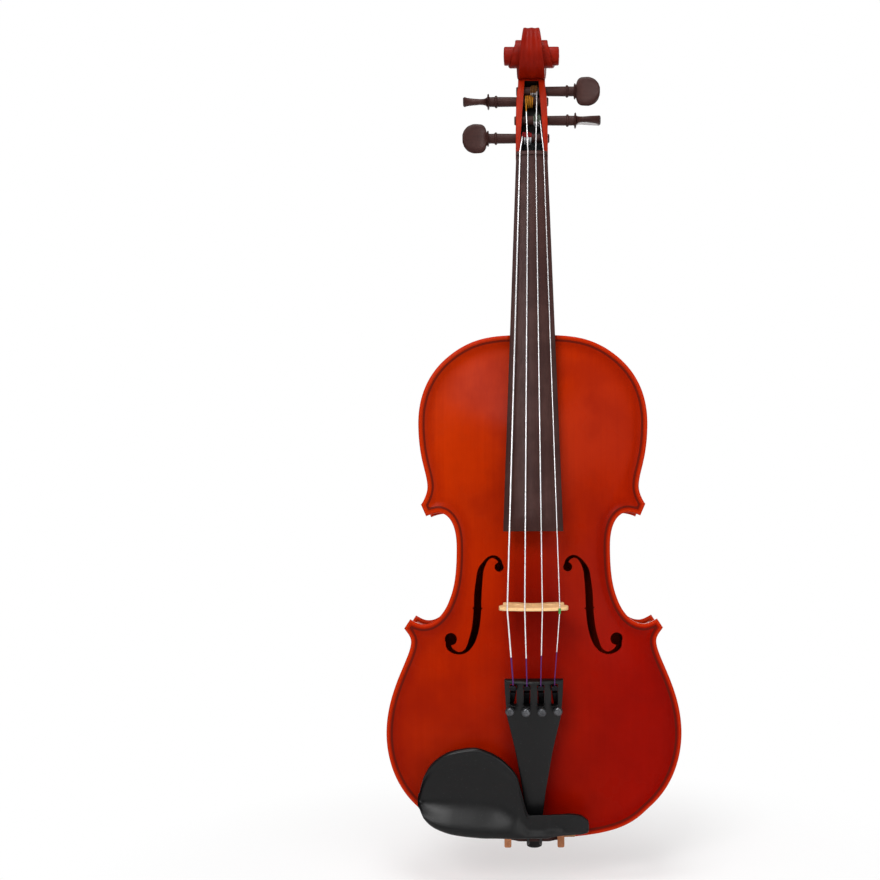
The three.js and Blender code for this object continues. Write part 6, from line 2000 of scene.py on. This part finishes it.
def build_tail():
    body, neck, fittings, _ = sizes()
    finish = palette()
    radius = fittings.gut / 2
    neck_radius, button_y = 3.5, body.rib_height / 2
    half = neck_radius + FIT + radius
    under = from_tailpiece(0, -(2 * FIT + radius), fittings.tail_length * 0.93)
    over = fittings.saddle_height + FIT + radius
    gut_z = -(1.5 + fittings.gut)
    leg = [
        (half * 0.7, under[1], under[2]), (half, -over, 3.5), (half, -over, -1.5),
        (half, radius - fittings.saddle_height, -3.15),
        (half, 0, gut_z + 0.1), (half, button_y, gut_z),
    ]
    bend = [
        (half * math.cos(math.pi * k / 16), button_y + half * math.sin(math.pi * k / 16), gut_z)
        for k in range(1, 16)
    ]
    other = [(-x, y, z) for x, y, z in leg[::-1]]
    path = np.concatenate([eased(leg, 1.8, 4), bend, eased(other, 1.8, 4)])
    mesh = swept("tail_gut_looped", path, radius, 14, finish.gut, sweep_tree())
    placed("tail_gut_looped", mesh, "viola", ["tail_gut"], "gut")

    head = fittings.button_diameter / 2
    at_rib = body.overhang - FIT
    head_top = gut_z - radius - FIT
    profile = [
        (0.01, 23), (2.6, 23), (3.2, 22.2), (neck_radius, at_rib), (5.3, at_rib), (5.5, at_rib - 0.3),
        (5.5, at_rib - 0.9)
    ]
    profile += [
        (5.2, at_rib - 1.2), (neck_radius, at_rib - 1.3), (neck_radius - 0.2, 0),
        (neck_radius, head_top + 0.4)
    ]
    profile += [
        (4.6, head_top), (5.6, head_top - 0.2), (head - 0.1, head_top - 0.9), (head, head_top - 1.8),
        (head - 0.15, -9.8)
    ]
    profile += [(head, -11), (head - 0.3, -11.9), (head - 1.2, -12.4), (head - 2, -12.5), (0.01, -12.5)]
    piece(
        "end_button_turned", turned(profile, lambda u, v, a: (u, button_y + v, a), 40), finish.button,
        "end_button", "stained_hardwood", crease=TURNED_SHARP_FROM
    )


# Chin rest: stations across it: place, low and high edge, foot and rim shares
CHIN_REST_SHARES = [
    (-0.67, 0.4, 0.58, 0.6, 0.8), (-0.645, 0.3, 0.75, 0.5, 0.88), (-0.58, 0.2, 0.93, 0.45, 0.96),
    (-0.47, 0.13, 1.045, 0.42, 1), (-0.35, 0.1, 1.075, 0.4, 1), (-0.27, 0.09, 1.035, 0.3, 1),
    (-0.2, 0.09, 0.967, 0, 1),
    (-0.14, 0.09, 0.868, 0, 1), (-0.1, 0.09, 0.77, 0, 0.98), (-0.078, 0.09, 0.62, 1, 0.96),
    (-0.03, 0.09, 0.346, 1, 0.94),
    (0.078, 0.09, 0.346, 1, 0.92), (0.1, 0.1, 0.346, 0, 0.9), (0.2, 0.11, 0.346, 0, 0.84),
    (0.27, 0.11, 0.325, 0.3, 0.78),
    (0.31, 0.12, 0.27, 0.45, 0.7),
]
CHIN_REST_SECTION_SHARES = [
    (0, 0), (0, 0.5), (0, 0.84), (0.05, 0.97), (0.13, 0.94), (0.4, 0.64), (0.75, 0.78), (0.93, 1),
    (1, 0.95), (0.98, 0.72),
    (0.75, 0.45), (0.4, 0.2),
]
CHIN_REST_EDGE = 7.4


def build_chin_rest():
    body, _, fittings, _ = sizes()
    finish = palette()
    deck = -from_tailpiece(
        0, tail_face(fittings, 0, fittings.tail_length * 0.9) + 2, fittings.tail_length * 0.9
    )[1]
    section = spline(CHIN_REST_SECTION_SHARES, 5, closed=True)
    first, last = CHIN_REST_SHARES[0][0], CHIN_REST_SHARES[-1][0]
    places = np.concatenate([
        np.linspace(first, -0.11, 46), np.linspace(-0.105, -0.07, 10), np.linspace(-0.06, 0.07, 12),
        np.linspace(0.075, 0.105, 10), np.linspace(0.11, last, 24)
    ])
    rings = []
    for place, (low, high, foot, rim) in zip(places, fair(CHIN_REST_SHARES, places)):
        x = place * fittings.rest_width
        under = lerp(CHIN_REST_EDGE, deck, foot)
        top = fittings.rest_height * rim
        soft = smooth_step(-0.26, -0.05, place) * smooth_step(0.26, 0.05, place)
        bowl = lerp(CHIN_REST_EDGE, deck, soft)
        ring = []
        for a, up in section:
            start = lerp(under, bowl, smooth_step(0.5, 0.64, up))
            if up > 0.6 and 0.05 < a < 0.95:
                up = lerp(up, max(up, 0.95), smooth_step(0.08, 0.22, place))
            ring.append((x, -lerp(start, top, up), lerp(low, high, a) * fittings.rest_depth))
        rings.append(ring)
    rings = [rounded_end(rings[0], -1.6, s) for s in (1.0, 0.85, 0.5)] + rings
    rings = rings + [rounded_end(rings[-1], 1.4, s) for s in (0.5, 0.85, 1.0)]
    piece(
        "chin_rest_moulded", loft(rings), finish.composite, "chin_rest", "black_composite",
        crease=ALL_SMOOTH
    )

    half, notch = 32, fittings.saddle_width / 2 + 2 * FIT
    low, deep, high = 1.95, 6.7, 12.95
    outline = [
        (-half, low), (-notch, low), (-notch, deep), (notch, deep), (notch, low), (half, low),
        (half, high), (-half, high)
    ]
    outline = eased(outline, 1.2, 3, closed=True)
    top = body.edge_thickness + FIT
    rings = [[(x, -y, z) for x, z in outline] for y in (top, top + fittings.cork_thickness)]
    piece("chin_rest_cork_pad", loft(rings), finish.cork, "chin_rest_cork", "cork", bevel=0.3)


def rounded_end(ring, reach, share):
    """A ring past the end of a skin, drawn in towards its middle."""
    ring = np.asarray(ring)
    middle = ring.mean(0)
    moved = middle + (ring - middle) * math.sqrt(max(1 - share**2, 0.0004))
    moved[:, 0] = ring[:, 0] + reach * share
    return [tuple(p) for p in moved]


CLAMP_X = 20.6
CLAMP_Z = -3.9
CLAMP_ROD = 1.6
CLAMP_FOOT_HALF = 2.7
CLAMP_FOOT_LENGTH = 16


def build_clamp():
    body, _, fittings, _ = sizes()
    finish = palette()
    barrel_from = (body.rib_height - fittings.barrel_length) / 2
    barrel_to = barrel_from + fittings.barrel_length
    foot_y, foot_thick, foot_end = -(CHIN_REST_EDGE + 1.8), 1.8, CLAMP_Z - CLAMP_ROD
    for side, label in ((-1, "left"), (1, "right")):
        x = side * CLAMP_X

        def upright(u, v, a, x=x):
            return (x + u, a, CLAMP_Z + v)

        rod_end = barrel_from + 11 - 2 * CLAMP_ROD
        rows = [
            (0.01, foot_y + 0.9), (CLAMP_ROD, foot_y + 0.9), (CLAMP_ROD, rod_end - 0.4),
            (CLAMP_ROD - 0.4, rod_end), (0.01, rod_end)
        ]
        rod = turned(rows, upright, 24)
        (low, high), half = (foot_end, foot_end + CLAMP_FOOT_LENGTH), CLAMP_FOOT_HALF
        outline = eased(
            [(x - half, low), (x + half, low), (x + half, high), (x - half, high)], 1.4, 4,
            closed=True
        )
        foot = loft([[(px, y, pz) for px, pz in outline] for y in (foot_y, foot_y + foot_thick)])
        piece(f"clamp_leg_{label}_bent", together(rod, foot), finish.rose, f"clamp_leg_{label}", "warm_metal")

        outer, bore = fittings.barrel_diameter / 2, CLAMP_ROD + FIT
        rows = [
            (bore, barrel_from + 0.2), (bore + 0.2, barrel_from), (outer - 0.4, barrel_from),
            (outer, barrel_from + 0.4)
        ]
        for s in (0.14, 0.86):
            y = lerp(barrel_from, barrel_to, s)
            rows += [(outer, y - 0.5), (outer - 0.35, y - 0.2), (outer - 0.35, y + 0.2), (outer, y + 0.5)]
        rows += [
            (outer, barrel_to - 0.4), (outer - 0.4, barrel_to), (bore + 0.2, barrel_to),
            (bore, barrel_to - 0.2)
        ]
        rings = [
            [upright(r * math.cos(TURN * k / 32), r * math.sin(TURN * k / 32), y) for k in range(32)] for r,
            y in [*rows, rows[0]]
        ]
        barrel = made_mesh("barrel", *loft(rings, closed_ends=False), [finish.rose])
        middle = (barrel_from + barrel_to) / 2
        keys = []
        for k, y in enumerate((middle - 3, middle + 3)):
            keys.append(
                turned(
                    [(0.75, -4), (0.75, 4)], lambda u, v, a, y=y, k=k,
                    x=x: (x + (a if k else u), y + v, CLAMP_Z + (u if k else a)), 16
                )
            )
        mesh = cut_away(barrel, keys)
        tidy_mesh(mesh, SHARP_FROM, join=0)
        placed(
            f"clamp_barrel_{label}_drilled", mesh, f"clamp_barrel_{label}", [f"clamp_barrel_{label}"],
            "warm_metal"
        )

    face = body.rib_height + body.edge_thickness + FIT
    half, lip, end = fittings.bracket_width / 2, 10, CLAMP_Z - 2 * CLAMP_ROD
    outline = [
        (-half, end), (half, end), (half, lip), (CLAMP_X / 2, lip), (CLAMP_X / 4, lip / 2),
        (-CLAMP_X / 4, lip / 2), (-CLAMP_X / 2, lip), (-half, lip)
    ]
    outline = eased(outline, 3, 6, closed=True)
    plate = loft([[(x, y, z) for x, z in outline] for y in (face, face + 2.4)])
    rods = []
    for side in (-1, 1):
        start = barrel_to - 11
        rows = [
            (0.01, start), (CLAMP_ROD - 0.4, start), (CLAMP_ROD, start + 0.4),
            (CLAMP_ROD, face + 1.2), (0.01, face + 1.2)
        ]
        rods.append(turned(rows, lambda u, v, a, x=side * CLAMP_X: (x + u, a, CLAMP_Z + v), 24))
    piece(
        "clamp_bracket_shaped", together(plate, *rods), finish.rose, "clamp_bracket", "warm_metal",
        body="clamp_bracket", bevel=0.3
    )


INNER_NODES = ("lining", "block", "bass_bar", "sound_post")


def dress_inner_work():
    finish = palette()
    for name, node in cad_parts.items():
        if any(word in name for word in INNER_NODES):
            dress(node, finish.inner)
    dress(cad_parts["tuner_pin"], finish.dark_steel)


def dress(node, material):
    if not node.material_slots:
        node.data.materials.append(material)
    for place in node.material_slots:
        place.material = material


# Stage
FLOOR_DROP = 0.024
CAMERA_PLACE = (0.0, -0.8235, -0.381571)
CAMERA_LENS = 41.65
CAMERA_SHIFT = (-0.106, 0.1113)
CAMERA_ROLL = 0.0038


def white_where_seen(nodes, lit, shown, extra=None):
    """Mixes a lit shader with plain white for what looks at the background."""
    path = nodes.add("ShaderNodeLightPath")
    seen = nodes.number("MAXIMUM", path.outputs["Is Camera Ray"], path.outputs["Is Transmission Ray"])
    if extra is not None:
        seen = nodes.times(seen, extra)
    mixed = nodes.add("ShaderNodeMixShader", {0: seen})
    nodes.feed(mixed.inputs[1], lit)
    nodes.feed(mixed.inputs[2], shown)
    return mixed.outputs[0]


def build_stage():
    scene = bpy.context.scene
    low = CAD_BOX[0].z - FLOOR_DROP
    reach = 4.0
    mesh = bpy.data.meshes.new("studio_floor")
    mesh.from_pydata(
        [(-reach, -reach, low), (reach, -reach, low), (reach, reach, low), (-reach, reach, low)], [],
        [(0, 1, 2, 3)]
    )
    floor = bpy.data.objects.new("studio_floor", mesh)
    scene.collection.objects.link(floor)
    material, nodes = finish_of("Floor", 0.9, Specular_IOR_Level=0.1)
    nodes.drive("Base Color", (*palette().floor, 1))
    where = nodes.add("ShaderNodeTexCoord")
    away = nodes.add("ShaderNodeVectorMath", {0: where.outputs["Object"]}, operation="LENGTH")
    far = nodes.range(away.outputs["Value"], 0.655, 0.76, 0.4, 1.0)
    glow = nodes.add("ShaderNodeEmission", {"Color": (1, 1, 1, 1), "Strength": 1.0})
    out = next(n for n in nodes.tree.nodes if n.type == "OUTPUT_MATERIAL")
    nodes.feed(out.inputs["Surface"], white_where_seen(nodes, nodes.shader.outputs[0], glow.outputs[0], far))
    mesh.materials.append(material)

    world = bpy.data.worlds.new("Studio")
    world.use_nodes = True
    nodes = Nodes(world.node_tree)
    back = next(n for n in world.node_tree.nodes if n.type == "BACKGROUND")
    back.inputs["Color"].default_value = (1, 1, 1, 1)
    back.inputs["Strength"].default_value = 0.2
    white = nodes.add("ShaderNodeBackground", {"Color": (1, 1, 1, 1), "Strength": 1.0})
    out = next(n for n in world.node_tree.nodes if n.type == "OUTPUT_WORLD")
    nodes.feed(out.inputs["Surface"], white_where_seen(nodes, back.outputs[0], white.outputs[0]))
    scene.world = world

    middle = Vector((0, 0, -0.3))
    for name, place, power, size in (
        ("Key", (-0.5, -1.5, 0.5), 16, 0.7),
        ("Fill", (0.9, -1.5, 0.1), 8, 1.1),
        ("Top", (-0.1, -0.45, 1.2), 12, 0.8),
        ("Back", (0.4, 1.5, 0.2), 17, 1.2),
    ):
        lamp = bpy.data.lights.new(name, "AREA")
        lamp.energy = power
        lamp.size = size
        item = bpy.data.objects.new(name, lamp)
        item.location = place
        item.rotation_euler = (middle - Vector(place)).to_track_quat("-Z", "Y").to_euler()
        scene.collection.objects.link(item)

    camera = bpy.data.cameras.new("Camera")
    camera.sensor_width = 36
    camera.lens = CAMERA_LENS
    camera.shift_x, camera.shift_y = CAMERA_SHIFT
    camera.clip_start = 0.01
    viewer = bpy.data.objects.new("Camera", camera)
    viewer.location = CAMERA_PLACE
    viewer.rotation_euler = Euler((math.pi / 2, CAMERA_ROLL, 0))
    scene.collection.objects.link(viewer)
    scene.camera = viewer
    scene.view_settings.view_transform = "Standard"


# Operators
class ViolaOperator:
    bl_options = {"REGISTER", "UNDO"}

    def execute(self, context):
        self.build()
        return {"FINISHED"}


class VIOLA_OT_plates(ViolaOperator, bpy.types.Operator):
    """Builds the arched top and back plates with their sound holes, channel and inlaid line"""

    bl_idname = "viola.plates"
    bl_label = "Top and back plates"
    build = staticmethod(build_plates)


class VIOLA_OT_ribs(ViolaOperator, bpy.types.Operator):
    """Builds the six ribs"""

    bl_idname = "viola.ribs"
    bl_label = "Ribs"
    build = staticmethod(build_ribs)


class VIOLA_OT_neck(ViolaOperator, bpy.types.Operator):
    """Builds the neck with its heel, the pegbox and the scroll"""

    bl_idname = "viola.neck"
    bl_label = "Neck and scroll"
    build = staticmethod(build_neck)


class VIOLA_OT_fingerboard(ViolaOperator, bpy.types.Operator):
    """Builds the fingerboard, the nut and the saddle"""

    bl_idname = "viola.fingerboard"
    bl_label = "Fingerboard, nut and saddle"
    build = staticmethod(build_fingerboard)


class VIOLA_OT_bridge(ViolaOperator, bpy.types.Operator):
    """Builds the bridge"""

    bl_idname = "viola.bridge"
    bl_label = "Bridge"
    build = staticmethod(build_bridge)


class VIOLA_OT_pegs(ViolaOperator, bpy.types.Operator):
    """Builds the four pegs"""

    bl_idname = "viola.pegs"
    bl_label = "Pegs"
    build = staticmethod(build_pegs)


class VIOLA_OT_tailpiece(ViolaOperator, bpy.types.Operator):
    """Builds the tailpiece"""

    bl_idname = "viola.tailpiece"
    bl_label = "Tailpiece"
    build = staticmethod(build_tailpiece)


class VIOLA_OT_tuners(ViolaOperator, bpy.types.Operator):
    """Builds the screws and levers of the four fine tuners"""

    bl_idname = "viola.tuners"
    bl_label = "Fine tuners"
    build = staticmethod(build_tuners)


class VIOLA_OT_strings(ViolaOperator, bpy.types.Operator):
    """Builds the four strings with their silk, and the sleeve of the A string"""

    bl_idname = "viola.strings"
    bl_label = "Strings"
    build = staticmethod(build_strings)


class VIOLA_OT_tail(ViolaOperator, bpy.types.Operator):
    """Builds the tail gut and the end button"""

    bl_idname = "viola.tail"
    bl_label = "Tail gut and end button"
    build = staticmethod(build_tail)


class VIOLA_OT_chin_rest(ViolaOperator, bpy.types.Operator):
    """Builds the chin rest and its cork"""

    bl_idname = "viola.chin_rest"
    bl_label = "Chin rest"
    build = staticmethod(build_chin_rest)


class VIOLA_OT_clamp(ViolaOperator, bpy.types.Operator):
    """Builds the legs, barrels and bracket of the chin rest's clamp"""

    bl_idname = "viola.clamp"
    bl_label = "Chin rest clamp"
    build = staticmethod(build_clamp)


class VIOLA_OT_inner_work(ViolaOperator, bpy.types.Operator):
    """Gives the linings, blocks, bass bar, sound post and tuner pin their finish"""

    bl_idname = "viola.inner_work"
    bl_label = "Inner work"
    build = staticmethod(dress_inner_work)


class VIOLA_OT_stage(ViolaOperator, bpy.types.Operator):
    """Sets the floor, the lamps and the camera"""

    bl_idname = "viola.stage"
    bl_label = "Stage"
    build = staticmethod(build_stage)


OPERATORS = (
    VIOLA_OT_plates, VIOLA_OT_ribs, VIOLA_OT_neck, VIOLA_OT_fingerboard, VIOLA_OT_bridge, VIOLA_OT_pegs,
    VIOLA_OT_tailpiece, VIOLA_OT_tuners, VIOLA_OT_strings, VIOLA_OT_tail, VIOLA_OT_chin_rest, VIOLA_OT_clamp,
    VIOLA_OT_inner_work, VIOLA_OT_stage,
)
SETTINGS = {
    "viola_body": ViolaBodySizes,
    "viola_neck": ViolaNeckSizes,
    "viola_fittings": ViolaFittingSizes,
    "viola_strings": ViolaStringSizes,
    "viola_finishes": ViolaFinishes,
}


class VIOLA_PT_panel(bpy.types.Panel):
    """Lists the steps of the viola and its sizes and colours"""

    bl_idname = "VIOLA_PT_panel"
    bl_label = "Viola"
    bl_space_type = "VIEW_3D"
    bl_region_type = "UI"
    bl_category = "Viola"

    def draw(self, context):
        layout = self.layout
        for operator in OPERATORS:
            layout.operator(operator.bl_idname)
        for name, group in SETTINGS.items():
            box = layout.box()
            for field in group.__annotations__:
                box.prop(getattr(context.scene, name), field)


def register():
    for item in (*SETTINGS.values(), *OPERATORS, VIOLA_PT_panel):
        bpy.utils.register_class(item)
    for name, group in SETTINGS.items():
        setattr(bpy.types.Scene, name, bpy.props.PointerProperty(type=group))


def unregister():
    for name in SETTINGS:
        delattr(bpy.types.Scene, name)
    for item in reversed((*SETTINGS.values(), *OPERATORS, VIOLA_PT_panel)):
        bpy.utils.unregister_class(item)


def main():
    register()
    for operator in OPERATORS:
        group, name = operator.bl_idname.split(".")
        getattr(getattr(bpy.ops, group), name)()


if __name__ == "__main__":
    main()
